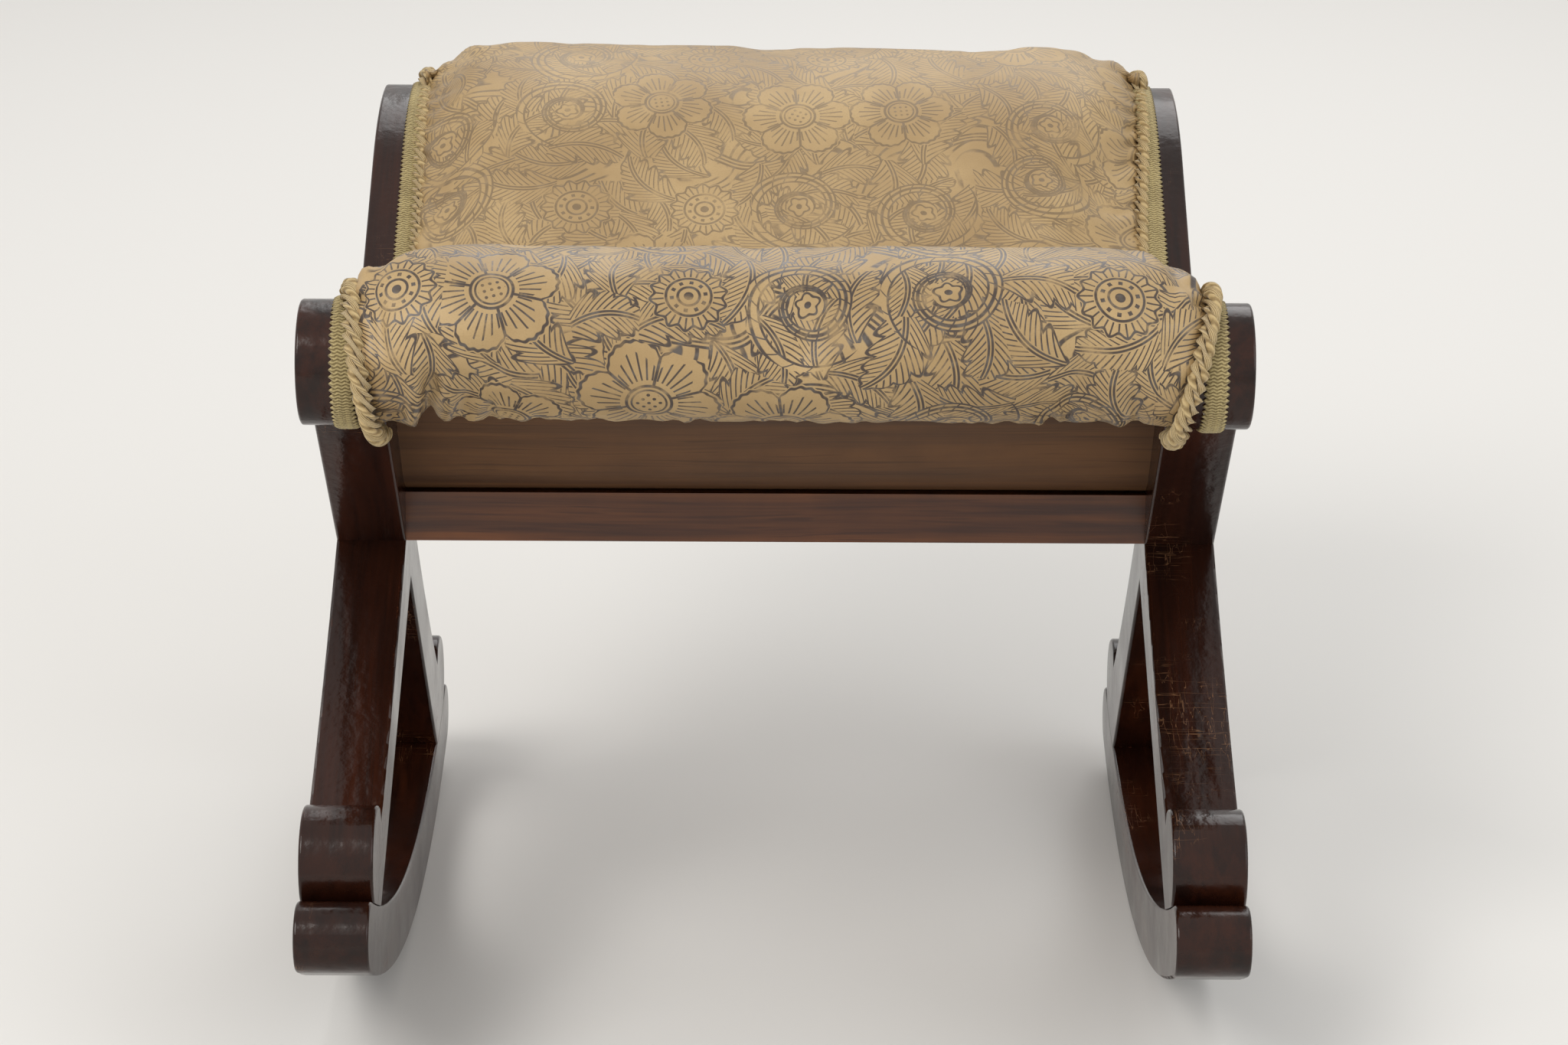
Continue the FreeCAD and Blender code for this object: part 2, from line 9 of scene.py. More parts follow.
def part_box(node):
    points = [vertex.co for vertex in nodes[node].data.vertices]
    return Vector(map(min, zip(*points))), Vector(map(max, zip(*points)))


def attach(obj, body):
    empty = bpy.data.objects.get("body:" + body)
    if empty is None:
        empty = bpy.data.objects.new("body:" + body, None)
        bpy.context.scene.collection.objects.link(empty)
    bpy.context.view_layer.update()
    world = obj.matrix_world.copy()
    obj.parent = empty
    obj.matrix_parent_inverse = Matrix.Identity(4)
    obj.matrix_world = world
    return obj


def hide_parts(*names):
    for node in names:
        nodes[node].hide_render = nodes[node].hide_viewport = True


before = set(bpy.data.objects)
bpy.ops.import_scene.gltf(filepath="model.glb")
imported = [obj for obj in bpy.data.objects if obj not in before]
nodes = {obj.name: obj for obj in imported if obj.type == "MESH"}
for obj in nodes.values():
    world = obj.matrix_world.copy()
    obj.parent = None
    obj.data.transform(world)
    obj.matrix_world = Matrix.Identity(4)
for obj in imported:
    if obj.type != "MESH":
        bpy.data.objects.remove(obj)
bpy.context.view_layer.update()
millimetre = 0.001
fullTurn = 2 * math.pi
sides = {"left": -1, "right": 1}
print("frame loaded:", len(nodes), "nodes")


# Camera and lamps

shot = {
    "place": (0.0047, -2.1585, 0.9858),
    "down": 19.64,  # degrees below level
    "roll": 0.28,
    "lens": 93.48,
    "sensor": 36,
    "sight": 60,
}
lampAim = Vector((0, 0, 0.25))
lamps = {
    "keyLamp": {"place": (-1.7, -1.9, 2.6), "size": 1.5, "power": 52, "colour": (1.0, 0.97, 0.93)},
    "fillLamp": {"place": (2.4, -1.6, 1.7), "size": 2.2, "power": 22, "colour": (0.95, 0.98, 1.0)},
    "backLamp": {"place": (0.3, 2.2, 2.4), "size": 1.8, "power": 24, "colour": (1.0, 1.0, 1.0)},
}


def setCamera():
    data = bpy.data.cameras.new("camera")
    data.lens = shot["lens"]
    data.sensor_width = shot["sensor"]
    data.clip_end = shot["sight"]
    camera = bpy.data.objects.new("camera", data)
    tilt = Matrix.Rotation(math.radians(90 - shot["down"]), 4, "X")
    roll = Matrix.Rotation(math.radians(shot["roll"]), 4, "Z")
    camera.matrix_world = Matrix.Translation(shot["place"]) @ tilt @ roll
    bpy.context.scene.collection.objects.link(camera)
    bpy.context.scene.camera = camera


def setLamp(name, place, size, power, colour):
    data = bpy.data.lights.new(name, "AREA")
    data.energy = power
    data.size = size
    data.color = colour
    lamp = bpy.data.objects.new(name, data)
    lamp.location = place
    towards = lampAim - Vector(place)
    lamp.rotation_euler = towards.to_track_quat("-Z", "Y").to_euler()
    bpy.context.scene.collection.objects.link(lamp)


setCamera()
for lampName, lampSettings in lamps.items():
    setLamp(lampName, **lampSettings)
bpy.context.scene.view_settings.view_transform = "Standard"
print("camera and lamps placed")


# Node wiring, shared by every material and group

softLine = (0.34, 0.68)  # a drawn line fades between these shares of its width


class Wiring:
    def __init__(self, tree):
        self.tree = tree

    def node(self, kind, values=(), **settings):
        made = self.tree.nodes.new("ShaderNode" + kind)
        for name, value in settings.items():
            setattr(made, name, value)
        for slot, value in dict(values).items():
            self.feed(made.inputs[slot], value)
        return made

    def feed(self, socket, value):
        if isinstance(value, bpy.types.NodeSocket):
            self.tree.links.new(value, socket)
        else:
            socket.default_value = value

    def calc(self, operation, *values):
        return self.node("Math", enumerate(values), operation=operation).outputs[0]

    def vector(self, operation, *values):
        return self.node("VectorMath", enumerate(values), operation=operation).outputs[0]

    def parts(self, vector):
        return self.node("SeparateXYZ", {0: vector}).outputs

    def ramp(self, value, low, high, start=0.0, end=1.0):
        slots = {0: value, 1: low, 2: high, 3: start, 4: end}
        return self.node("MapRange", slots, interpolation_type="SMOOTHSTEP").outputs[0]

    def blend(self, share, first, second):
        made = self.node("Mix", {0: share, 6: first, 7: second}, data_type="RGBA")
        return made.outputs[2]

    def noise(self, vector, scale, detail=2.0, rough=0.5):
        slots = {"Vector": vector, "Scale": scale, "Detail": detail, "Roughness": rough}
        return self.node("TexNoise", slots).outputs[0]

    def stretch(self, vector, scale, turn=(0.0, 0.0, 0.0)):
        return self.node("Mapping", {"Vector": vector, "Scale": scale, "Rotation": turn}).outputs[0]

    def group(self, name, values):
        made = self.node("Group")
        made.node_tree = bpy.data.node_groups[name]
        for slot, value in values.items():
            self.feed(made.inputs[slot], value)
        return made.outputs

    def bump(self, height, strength, distance, normal=None):
        slots = {"Height": height, "Strength": strength, "Distance": distance}
        if normal is not None:
            slots["Normal"] = normal
        return self.node("Bump", slots).outputs[0]

    # The rest draws patterns: 1 on a line or inside a shape, 0 elsewhere

    def most(self, *values):
        result = values[0]
        for value in values[1:]:
            result = self.calc("MAXIMUM", result, value)
        return result

    def product(self, *values):
        result = values[0]
        for value in values[1:]:
            result = self.calc("MULTIPLY", result, value)
        return result

    def under(self, value, limit):
        return self.calc("LESS_THAN", value, limit)

    def near(self, value, width, share=1.0):
        width = self.calc("MULTIPLY", width, share)
        low, high = [self.calc("MULTIPLY", width, part) for part in softLine]
        return self.ramp(self.calc("ABSOLUTE", value), low, high, 1, 0)

    def away(self, value, middle):
        return self.calc("SUBTRACT", value, middle)

    def wrapped(self, value, half):
        return self.calc("WRAP", value, half, -half)

    def wave(self, kind, angle, count, depth, level=0.0):
        swung = self.calc(kind, self.calc("MULTIPLY", angle, count))
        return self.calc("MULTIPLY_ADD", swung, depth, level)

    def polar(self, vector):
        parts = self.parts(vector)
        squares = [self.product(part, part) for part in (parts[0], parts[1])]
        return self.calc("SQRT", self.calc("ADD", *squares)), self.calc("ARCTAN2", parts[1], parts[0])


def startGroup(name, inputs, outputs):
    tree = bpy.data.node_groups.new(name, "ShaderNodeTree")
    for label, kind in inputs.items():
        tree.interface.new_socket(label, in_out="INPUT", socket_type="NodeSocket" + kind)
    for label, kind in outputs.items():
        tree.interface.new_socket(label, in_out="OUTPUT", socket_type="NodeSocket" + kind)
    source = tree.nodes.new("NodeGroupInput").outputs
    sink = tree.nodes.new("NodeGroupOutput").inputs
    return Wiring(tree), source, sink


def startMaterial(name):
    material = bpy.data.materials.new(name)
    material.use_nodes = True
    material.node_tree.nodes.clear()
    wires = Wiring(material.node_tree)
    shader = wires.node("BsdfPrincipled")
    output = wires.node("OutputMaterial")
    wires.feed(output.inputs[0], shader.outputs[0])
    return material, wires, shader.inputs


def pieceFrom(mesh, name, *materials):
    data = bpy.data.meshes.new(name)
    mesh.to_mesh(data)
    mesh.free()
    data.shade_smooth()
    piece = bpy.data.objects.new(name, data)
    bpy.context.scene.collection.objects.link(piece)
    for material in materials:
        data.materials.append(material)
    return piece


def finishNodes(material, *names):
    for name in names:
        nodes[name].data.materials.clear()
        nodes[name].data.materials.append(material)


# Floor and world

room = {
    "floorRadius": 14,
    "floorCorners": 96,
    "floorColour": (0.80, 0.79, 0.77, 1),
    "floorRoughness": 0.85,
    "lightColour": (1, 0.98, 0.95, 1),
    "seenColour": (0.86, 0.85, 0.83, 1),
    "strengths": (0.62, 0.95),  # as light, and as seen or mirrored
}


def makeFloor():
    mesh = bmesh.new()
    bmesh.ops.create_circle(mesh, cap_ends=True, segments=room["floorCorners"], radius=room["floorRadius"])
    material, wires, shader = startMaterial("paleFloor")
    wires.feed(shader["Base Color"], room["floorColour"])
    wires.feed(shader["Roughness"], room["floorRoughness"])
    floor = pieceFrom(mesh, "floor", material)


def makeWorld():
    world = bpy.data.worlds.new("studio")
    bpy.context.scene.world = world
    world.use_nodes = True
    wires = Wiring(world.node_tree)
    background = world.node_tree.nodes["Background"].inputs
    rays = wires.node("LightPath").outputs
    seen = wires.calc("MAXIMUM", rays["Is Camera Ray"], rays["Is Glossy Ray"])
    wires.feed(background["Color"], wires.blend(seen, room["lightColour"], room["seenColour"]))
    wires.feed(background["Strength"], wires.ramp(seen, 0, 1, *room["strengths"]))


makeWorld()
makeFloor()
print("floor and world made")


# Effects shared by the woods

# A noise is given by its scale, detail and roughness, and a range by where it starts and ends

grain = {
    "wanderStretch": (7, 1.2, 7),
    "wander": (3.0, 2),
    "wanderReach": (0.012, 0.0, 0.012),
    "broadStretch": (30, 1.6, 30),
    "broad": (4, 0.6),
    "broadShare": 0.62,
    "fineStretch": (160, 4, 160),
    "fine": (3, 0.7),
    "fineShare": 0.45,
    "toneRange": (0.34, 0.74),
    "poreStretch": (520, 16, 520),
    "poreRange": (0.60, 0.72),
}
edgeWear = {
    "bevelSamples": 6,
    "edgeRange": (0.01, 0.16),
    "patches": (38.0, 6, 0.65),
    "patchShare": 0.75,
    "chips": (420.0, 3, 0.7),
    "chipShare": 0.35,
    "least": 0.92,
    "fade": 0.10,
}
scratches = {
    "turns": ((0.5, 0.3, 0.1), (-0.4, 0.2, 0.9)),
    "stretches": ((9, 160, 60), (150, 7, 50)),
    "field": (1.0, 3, 0.55),
    "lineRange": (0.002, 0.006, 1, 0),
    "where": (16.0, 3),
    "whereRange": (0.56, 0.68),
}


# Streaks along the Y axis of the vector that it is given
def makeGrainGroup():
    inputs = {"Vector": "Vector", "Streaks": "Float", "Pores": "Float"}
    wires, given, result = startGroup("grain", inputs, {"Tone": "Float", "Pore": "Float"})
    wander = wires.noise(wires.stretch(given["Vector"], grain["wanderStretch"]), *grain["wander"])
    moved = wires.vector("MULTIPLY_ADD", wander, grain["wanderReach"], given["Vector"])
    broad = wires.noise(wires.stretch(moved, grain["broadStretch"]), given["Streaks"], *grain["broad"])
    fine = wires.noise(wires.stretch(moved, grain["fineStretch"]), given["Streaks"], *grain["fine"])
    tone = wires.calc("MULTIPLY", broad, grain["broadShare"])
    tone = wires.calc("MULTIPLY_ADD", fine, grain["fineShare"], tone)
    wires.feed(result["Tone"], wires.ramp(tone, *grain["toneRange"]))
    pores = wires.noise(wires.stretch(moved, grain["poreStretch"]), given["Pores"], 1)
    wires.feed(result["Pore"], wires.ramp(pores, *grain["poreRange"]))


# Edges rubbed through in patches, 1 where the finish is gone
def makeWearGroup():
    inputs = {"Vector": "Vector", "Reach": "Float", "Amount": "Float"}
    wires, given, result = startGroup("edgeWear", inputs, {"Mask": "Float"})
    rounded = wires.node("Bevel", {"Radius": given["Reach"]}, samples=edgeWear["bevelSamples"]).outputs[0]
    facing = wires.node("NewGeometry").outputs["Normal"]
    dot = wires.node("VectorMath", {0: rounded, 1: facing}, operation="DOT_PRODUCT").outputs["Value"]
    edge = wires.ramp(wires.calc("SUBTRACT", 1.0, dot), *edgeWear["edgeRange"])
    patches = wires.noise(given["Vector"], *edgeWear["patches"])
    chips = wires.noise(given["Vector"], *edgeWear["chips"])
    rough = wires.calc("MULTIPLY", patches, edgeWear["patchShare"])
    rough = wires.calc("MULTIPLY_ADD", chips, edgeWear["chipShare"], rough)
    least = wires.calc("SUBTRACT", edgeWear["least"], given["Amount"])
    spots = wires.ramp(rough, least, wires.calc("ADD", least, edgeWear["fade"]))
    wires.feed(result["Mask"], wires.product(edge, spots))


# Thin scratches in two directions, 1 on a scratch
def makeScratchGroup():
    inputs = {"Vector": "Vector", "Amount": "Float"}
    wires, given, result = startGroup("scratches", inputs, {"Mask": "Float"})
    masks = []
    for turn, stretched in zip(scratches["turns"], scratches["stretches"]):
        field = wires.noise(wires.stretch(given["Vector"], stretched, turn), *scratches["field"])
        line = wires.calc("ABSOLUTE", wires.away(field, 0.5))
        masks.append(wires.ramp(line, *scratches["lineRange"]))
    where = wires.ramp(wires.noise(given["Vector"], *scratches["where"]), *scratches["whereRange"])
    wires.feed(result["Mask"], wires.product(wires.most(*masks), where, given["Amount"]))


makeGrainGroup()
makeWearGroup()
makeScratchGroup()
print("wood effects made")


# Frame wood: dark mahogany under gloss lacquer

lacquer = {
    "dark": (0.008, 0.003, 0.002, 1),
    "red": (0.042, 0.0105, 0.0042, 1),
    "worn": (0.30, 0.085, 0.028, 1),
    "scratch": (0.34, 0.17, 0.08, 1),
    "grainAngles": {"runner": 0, "front_leg": 28, "rear_leg": -34, "front_arm": -47, "rear_arm": 28},
    "wearReach": 2.2 * millimetre,
    "wearAmount": 0.30,
    "scratchAmount": 0.6,
    "scratchShare": 0.5,
    "cloud": (9.0, 3),
    "cloudRange": (0.35, 0.7),
    "cloudShares": (0.6, 0.4),  # of the streaks' depth, and what is always left of it
    "smear": (24.0, 4, 0.6),
    "roughness": 0.09,
    "smearRoughness": 0.22,
    "wearRoughness": 0.35,
    "scratchRoughness": 0.15,
    "specular": 0.34,
    "peel": (210.0, 2),
    "peelBump": (0.32, 0.6 * millimetre),
    "sagStretch": (60, 16, 60),
    "sag": (1.0, 2),
    "sagBump": (0.5, 1.4 * millimetre),
    "wearBump": (-0.25, 0.4 * millimetre),
}


def lacqueredWood(part, angle):
    material, wires, shader = startMaterial("lacqueredMahogany_" + part)
    place = wires.node("TexCoord").outputs["Object"]
    turned = {"Vector": place, "Angle": math.radians(-angle)}
    along = wires.node("VectorRotate", turned, rotation_type="X_AXIS").outputs[0]
    streaks = wires.group("grain", {"Vector": along, "Streaks": 1.0, "Pores": 1.0})["Tone"]
    worn = {"Vector": place, "Reach": lacquer["wearReach"], "Amount": lacquer["wearAmount"]}
    wear = wires.group("edgeWear", worn)["Mask"]
    scratch = wires.group("scratches", {"Vector": place, "Amount": lacquer["scratchAmount"]})["Mask"]
    cloudy = wires.ramp(wires.noise(place, *lacquer["cloud"]), *lacquer["cloudRange"])
    tone = wires.product(streaks, wires.calc("MULTIPLY_ADD", cloudy, *lacquer["cloudShares"]))
    colour = wires.blend(tone, lacquer["dark"], lacquer["red"])
    colour = wires.blend(wear, colour, lacquer["worn"])
    colour = wires.blend(wires.product(scratch, lacquer["scratchShare"]), colour, lacquer["scratch"])
    wires.feed(shader["Base Color"], colour)
    smear = wires.noise(place, *lacquer["smear"])
    rough = wires.calc("MULTIPLY_ADD", smear, lacquer["smearRoughness"], lacquer["roughness"])
    rough = wires.calc("MULTIPLY_ADD", wear, lacquer["wearRoughness"], rough)
    rough = wires.calc("MULTIPLY_ADD", scratch, lacquer["scratchRoughness"], rough)
    wires.feed(shader["Roughness"], rough)
    wires.feed(shader["Specular IOR Level"], lacquer["specular"])
    peel = wires.noise(place, *lacquer["peel"])
    sag = wires.noise(wires.stretch(along, lacquer["sagStretch"]), *lacquer["sag"])
    normal = wires.bump(peel, *lacquer["peelBump"])
    normal = wires.bump(sag, *lacquer["sagBump"], normal)
    normal = wires.bump(wires.calc("ADD", wear, scratch), *lacquer["wearBump"], normal)
    wires.feed(shader["Normal"], normal)
    return material


for part, angle in lacquer["grainAngles"].items():
    finishNodes(lacqueredWood(part, angle), *[part + "_" + side for side in sides])
print("frame lacquered")


# Rails, deck, dowels and nails

plainWoods = {
    "railMahogany": {"light": (0.215, 0.070, 0.018, 1), "dark": (0.042, 0.011, 0.004, 1), "roughness": 0.27},
    "deckWood": {"light": (0.150, 0.066, 0.022, 1), "dark": (0.058, 0.024, 0.008, 1), "roughness": 0.50},
}
woodSurface = {
    "turn": (0, 0, math.radians(90)),  # the grain runs along X
    "smudge": (22.0, 4, 0.6),
    "smudgeRange": (0.40, 0.75),
    "smudgeShare": 0.35,
    "poreShare": 0.5,
    "streakRoughness": 0.12,
    "poreBump": (-0.3, 0.4 * millimetre),
}
beech = {
    "light": (0.56, 0.40, 0.24, 1),
    "dark": (0.40, 0.25, 0.13, 1),
    "streaks": 1.5,
    "roughness": 0.5,
    "streakRoughness": 0.1,
}
steel = {
    "bare": (0.35, 0.33, 0.31, 1),
    "rust": (0.14, 0.06, 0.03, 1),
    "spots": (300.0, 4),
    "spotRange": (0.48, 0.62),
    "metallic": (1, 0.2),
    "roughness": (0.35, 0.8),
}


def plainWood(name, light, dark, roughness):
    material, wires, shader = startMaterial(name)
    place = wires.node("TexCoord").outputs["Object"]
    turned = wires.stretch(place, (1, 1, 1), woodSurface["turn"])
    streaks = wires.group("grain", {"Vector": turned, "Streaks": 1.0, "Pores": 1.0})
    smudge = wires.ramp(wires.noise(place, *woodSurface["smudge"]), *woodSurface["smudgeRange"])
    colour = wires.blend(streaks["Tone"], dark, light)
    colour = wires.blend(wires.product(smudge, woodSurface["smudgeShare"]), colour, dark)
    colour = wires.blend(wires.product(streaks["Pore"], woodSurface["poreShare"]), colour, dark)
    wires.feed(shader["Base Color"], colour)
    rough = wires.calc("MULTIPLY_ADD", streaks["Tone"], woodSurface["streakRoughness"], roughness)
    wires.feed(shader["Roughness"], rough)
    wires.feed(shader["Normal"], wires.bump(streaks["Pore"], *woodSurface["poreBump"]))
    return material


def dowelWood():
    material, wires, shader = startMaterial("dowelBeech")
    place = wires.node("TexCoord").outputs["Object"]
    streaks = wires.group("grain", {"Vector": place, "Streaks": beech["streaks"], "Pores": 1.0})["Tone"]
    wires.feed(shader["Base Color"], wires.blend(streaks, beech["dark"], beech["light"]))
    rough = wires.calc("MULTIPLY_ADD", streaks, beech["streakRoughness"], beech["roughness"])
    wires.feed(shader["Roughness"], rough)
    return material


def agedSteel():
    material, wires, shader = startMaterial("agedSteel")
    place = wires.node("TexCoord").outputs["Object"]
    rust = wires.ramp(wires.noise(place, *steel["spots"]), *steel["spotRange"])
    wires.feed(shader["Base Color"], wires.blend(rust, steel["bare"], steel["rust"]))
    wires.feed(shader["Metallic"], wires.ramp(rust, 0, 1, *steel["metallic"]))
    wires.feed(shader["Roughness"], wires.ramp(rust, 0, 1, *steel["roughness"]))
    return material


railWood, deckWood = [plainWood(name, **settings) for name, settings in plainWoods.items()]
finishNodes(railWood, "front_rail", "rear_rail", "front_roll_rail", "rear_roll_rail")
finishNodes(deckWood, "front_deck_board", "rear_deck_board")
dowelNames = [kind + "_" + side for kind in ("foot_dowels", "neck_dowels", "arm_dowel") for side in sides]
finishNodes(dowelWood(), *dowelNames)
finishNodes(agedSteel(), "deck_nails", "braid_tacks_left", "braid_tacks_right")
print("rails, deck, dowels and nails finished")


# The line of the cradle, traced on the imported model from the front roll's underside to the rear one's

tracing = {
    "coverLift": (0.0022, 0.0143),  # from a roll rail's middle to its roll's, back and up
    "eye": (0.0, 0.55),  # where the rays on to the seat come from, in Y and Z
    "far": 0.06,
    "step": 2.5,  # degrees
    "eyeStep": 1.0,
    "level": 3 * millimetre,  # reach to either side that gives a line's direction
}


def mixed(first, second, share):
    return first + (second - first) * share


def eased(low, high, value):
    share = min(1.0, max(0.0, (value - low) / (high - low)))
    return share * share * (3 - 2 * share)


def middleOf(name):
    low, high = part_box(name)
    middle = (low + high) / 2
    return Vector((middle.y, middle.z))


def treeOf(*names):
    points, faces = [], []
    for name in names:
        data = nodes[name].data
        start = len(points)
        points += [vertex.co.copy() for vertex in data.vertices]
        faces += [[start + corner for corner in face.vertices] for face in data.polygons]
    return BVHTree.FromPolygons(points, faces)


def hitOn(tree, x, start, aim):
    origin = Vector((x, start.x, start.y))
    return tree.ray_cast(origin, Vector((0, aim.x, aim.y)))[0]


# Rays that come in towards a roll's middle, from the first angle to the last
def around(centre, first, last):
    count = max(2, round(abs(last - first) / tracing["step"]))
    rays = []
    for step in range(count + 1):
        turn = math.radians(mixed(first, last, step / count))
        outward = Vector((math.cos(turn), math.sin(turn)))
        rays.append((centre + outward * tracing["far"], -outward))
    return rays


def cradleRays(tree, x, frontTurns, rearTurns, lift):
    front = middleOf("front_roll_rail") + Vector(lift)
    rear = middleOf("rear_roll_rail") + Vector(lift)
    first, last = around(front, *frontTurns), around(rear, *rearTurns)
    eye = Vector(tracing["eye"])
    ends = [hitOn(tree, x, *first[-1]), hitOn(tree, x, *last[0])]
    angles = [math.degrees(math.atan2(end.z - eye.y, end.y - eye.x)) for end in ends]
    count = round((angles[1] - angles[0]) / tracing["eyeStep"])
    middle = []
    for step in range(1, count):
        turn = math.radians(mixed(angles[0], angles[1], step / count))
        middle.append((eye, Vector((math.cos(turn), math.sin(turn)))))
    return first + middle + last


# Points along a line, read by the length that is passed
class Line:
    def __init__(self, points):
        self.points = points
        self.passed = [0.0]
        for before, after in zip(points, points[1:]):
            self.passed.append(self.passed[-1] + (after - before).length)
        self.length = self.passed[-1]

    def at(self, length):
        length = min(self.length, max(0.0, length))
        after = min(len(self.points) - 1, max(1, bisect_left(self.passed, length)))
        span = self.passed[after] - self.passed[after - 1]
        share = (length - self.passed[after - 1]) / span if span else 0.0
        return self.points[after - 1].lerp(self.points[after], share)

    def direction(self, length):
        reach = tracing["level"]
        return (self.at(length + reach) - self.at(length - reach)).normalized()


armTurns = {"front": (-90, -290), "rear": (110, -106)}
armTrees = {side: treeOf("front_arm_" + side, "rear_arm_" + side) for side in sides}
coverTree = treeOf("seat_cover")


# The arms' upper edge from below the front scroll to below the rear scroll
def armLine(side, x):
    tree = armTrees[side]
    rays = cradleRays(tree, x, armTurns["front"], armTurns["rear"], (0, 0))
    hits = [hitOn(tree, x, *ray) for ray in rays]
    return Line([hit for hit in hits if hit])


# Twisted cord beside the braid

cord = {
    "plies": 4,
    "plyRadius": 2.35 * millimetre,
    "twistRadius": 3.05 * millimetre,
    "pitch": 26 * millimetre,
    "rowLength": 0.7 * millimetre,
    "pathStep": 2 * millimetre,
    "sides": 11,
    "lineAt": 0.208,  # in the arms' rebate for the deck
    "lift": 5.6 * millimetre,
    "seatLift": 8.2 * millimetre,
    "drift": {"left": (0.2005, 0.2144, 0.2095), "right": (0.2010, 0.2200, 0.2110)},  # at end, roll and seat
    "driftEnd": 0.14,
    "seatFrom": 2.6,  # in times driftEnd
    "weld": 0.02 * millimetre,
}
strand = {"count": 2, "length": 5 * millimetre, "girth": 1.02, "depth": 0.09}
thread = {"count": 9, "girth": 0.97, "depth": 0.03}
plyKinds = {
    "cordSmoothPly": {
        "light": (0.68, 0.53, 0.29, 1),
        "deep": (0.32, 0.225, 0.10, 1),
        "turns": (14.0, 30.0),  # threads round the ply, and turns of them in a metre
    },
    "cordTwistedPly": {
        "light": (0.60, 0.455, 0.23, 1),
        "deep": (0.26, 0.175, 0.075, 1),
        "turns": (2.0, 1 / strand["length"]),
    },
}
cordSurface = {
    "fuzz": (900.0, 3, 0.7),
    "fuzzShare": (0.7, 0.15),
    # painted shade: the threads' share of the tone, darker in the gaps between threads and strands
    "threadShadeShare": 0.30,
    "toneRange": (0.0, 0.8),
    "dirt": (45.0, 3),
    "roughness": (0.62, 0.85),
    "sheen": 0.25,
    "sheenRoughness": 0.45,
    "bump": (0.55, 0.4 * millimetre),
}


# How far from the middle the cord lies, by the share of its line that is passed
def cordX(side, share):
    bottom, top, seat = cord["drift"][side]
    share = min(share, 1 - share)
    rise = eased(0.0, cord["driftEnd"], share)
    fall = eased(cord["driftEnd"], cord["seatFrom"] * cord["driftEnd"], share)
    return mixed(mixed(bottom, top, rise), seat, fall)


def cordPath(side):
    base = armLine(side, sides[side] * cord["lineAt"])
    count = round(base.length / cord["pathStep"])
    points = []
    for step in range(count + 1):
        passed = base.length * step / count
        ahead = base.direction(passed)
        outward = Vector((0, -ahead.z, ahead.y))
        inner = min(step, count - step) / count
        onSeat = eased(cord["driftEnd"], 2 * cord["driftEnd"], inner)
        point = base.at(passed) + outward * mixed(cord["lift"], cord["seatLift"], onSeat)
        point.x = sides[side] * cordX(side, step / count)
        points.append(point)
    return Line(points)


# A grid of quads set on place(column share, row share); its UV map holds the first and the length passed
def wrappedGrid(columns, rows, place, length):
    mesh = bmesh.new()
    bmesh.ops.create_grid(mesh, x_segments=columns, y_segments=rows, size=0.5, calc_uvs=True)
    uvMap = mesh.loops.layers.uv.verify()
    for face in mesh.faces:
        for corner in face.loops:
            corner[uvMap].uv = (corner.vert.co.x + 0.5, (corner.vert.co.y + 0.5) * length)
    for vertex in mesh.verts:
        vertex.co = place(vertex.co.x + 0.5, vertex.co.y + 0.5)
    return mesh


def plyPlace(path, number, twisted):
    start = fullTurn * number / cord["plies"]
    slope = fullTurn * cord["twistRadius"] / cord["pitch"]

    def place(aroundShare, alongShare):
        passed = alongShare * path.length
        ahead = path.direction(passed)
        across = Vector((1, 0, 0))
        outward = across.cross(ahead).normalized()
        turn = start - fullTurn * passed / cord["pitch"]
        away = outward * math.cos(turn) + across * math.sin(turn)
        beside = ahead.cross(away)
        crown = fullTurn * aroundShare
        radius = cord["plyRadius"]
        if twisted:
            swell = math.sin(strand["count"] * crown + fullTurn * passed / strand["length"])
            radius *= strand["girth"] + strand["depth"] * swell
        else:
            radius *= thread["girth"] + thread["depth"] * math.sin(thread["count"] * crown)
        rim = away * math.cos(crown) + beside * math.sin(crown)
        lean = ahead * (-slope * math.sin(crown) * radius)
        return path.at(passed) + away * cord["twistRadius"] + rim * radius + lean

    return place


def plyMaterial(name, light, deep, turns):
    material, wires, shader = startMaterial(name)
    place = wires.node("TexCoord").outputs
    weave = wires.parts(place["UV"])
    turned = wires.calc("MULTIPLY_ADD", weave[1], turns[1], wires.product(weave[0], turns[0]))
    threads = wires.calc("SINE", wires.product(turned, fullTurn))
    fuzz = wires.noise(place["Object"], *cordSurface["fuzz"])
    dirt = wires.noise(place["Object"], *cordSurface["dirt"])
    tone = wires.calc("MULTIPLY_ADD", fuzz, *cordSurface["fuzzShare"])
    # Painted shade: the colour follows the threads, and on the twisted plies the mesh's strands, darker in
    # the gaps between them
    tone = wires.calc("MULTIPLY_ADD", threads, cordSurface["threadShadeShare"], tone)
    tone = wires.ramp(tone, *cordSurface["toneRange"])
    wires.feed(shader["Base Color"], wires.blend(tone, deep, light))
    wires.feed(shader["Roughness"], wires.ramp(dirt, 0, 1, *cordSurface["roughness"]))
    wires.feed(shader["Sheen Weight"], cordSurface["sheen"])
    wires.feed(shader["Sheen Roughness"], cordSurface["sheenRoughness"])
    wires.feed(shader["Normal"], wires.bump(wires.calc("ADD", threads, fuzz), *cordSurface["bump"]))
    return material


smoothPly, twistedPly = [plyMaterial(name, **settings) for name, settings in plyKinds.items()]


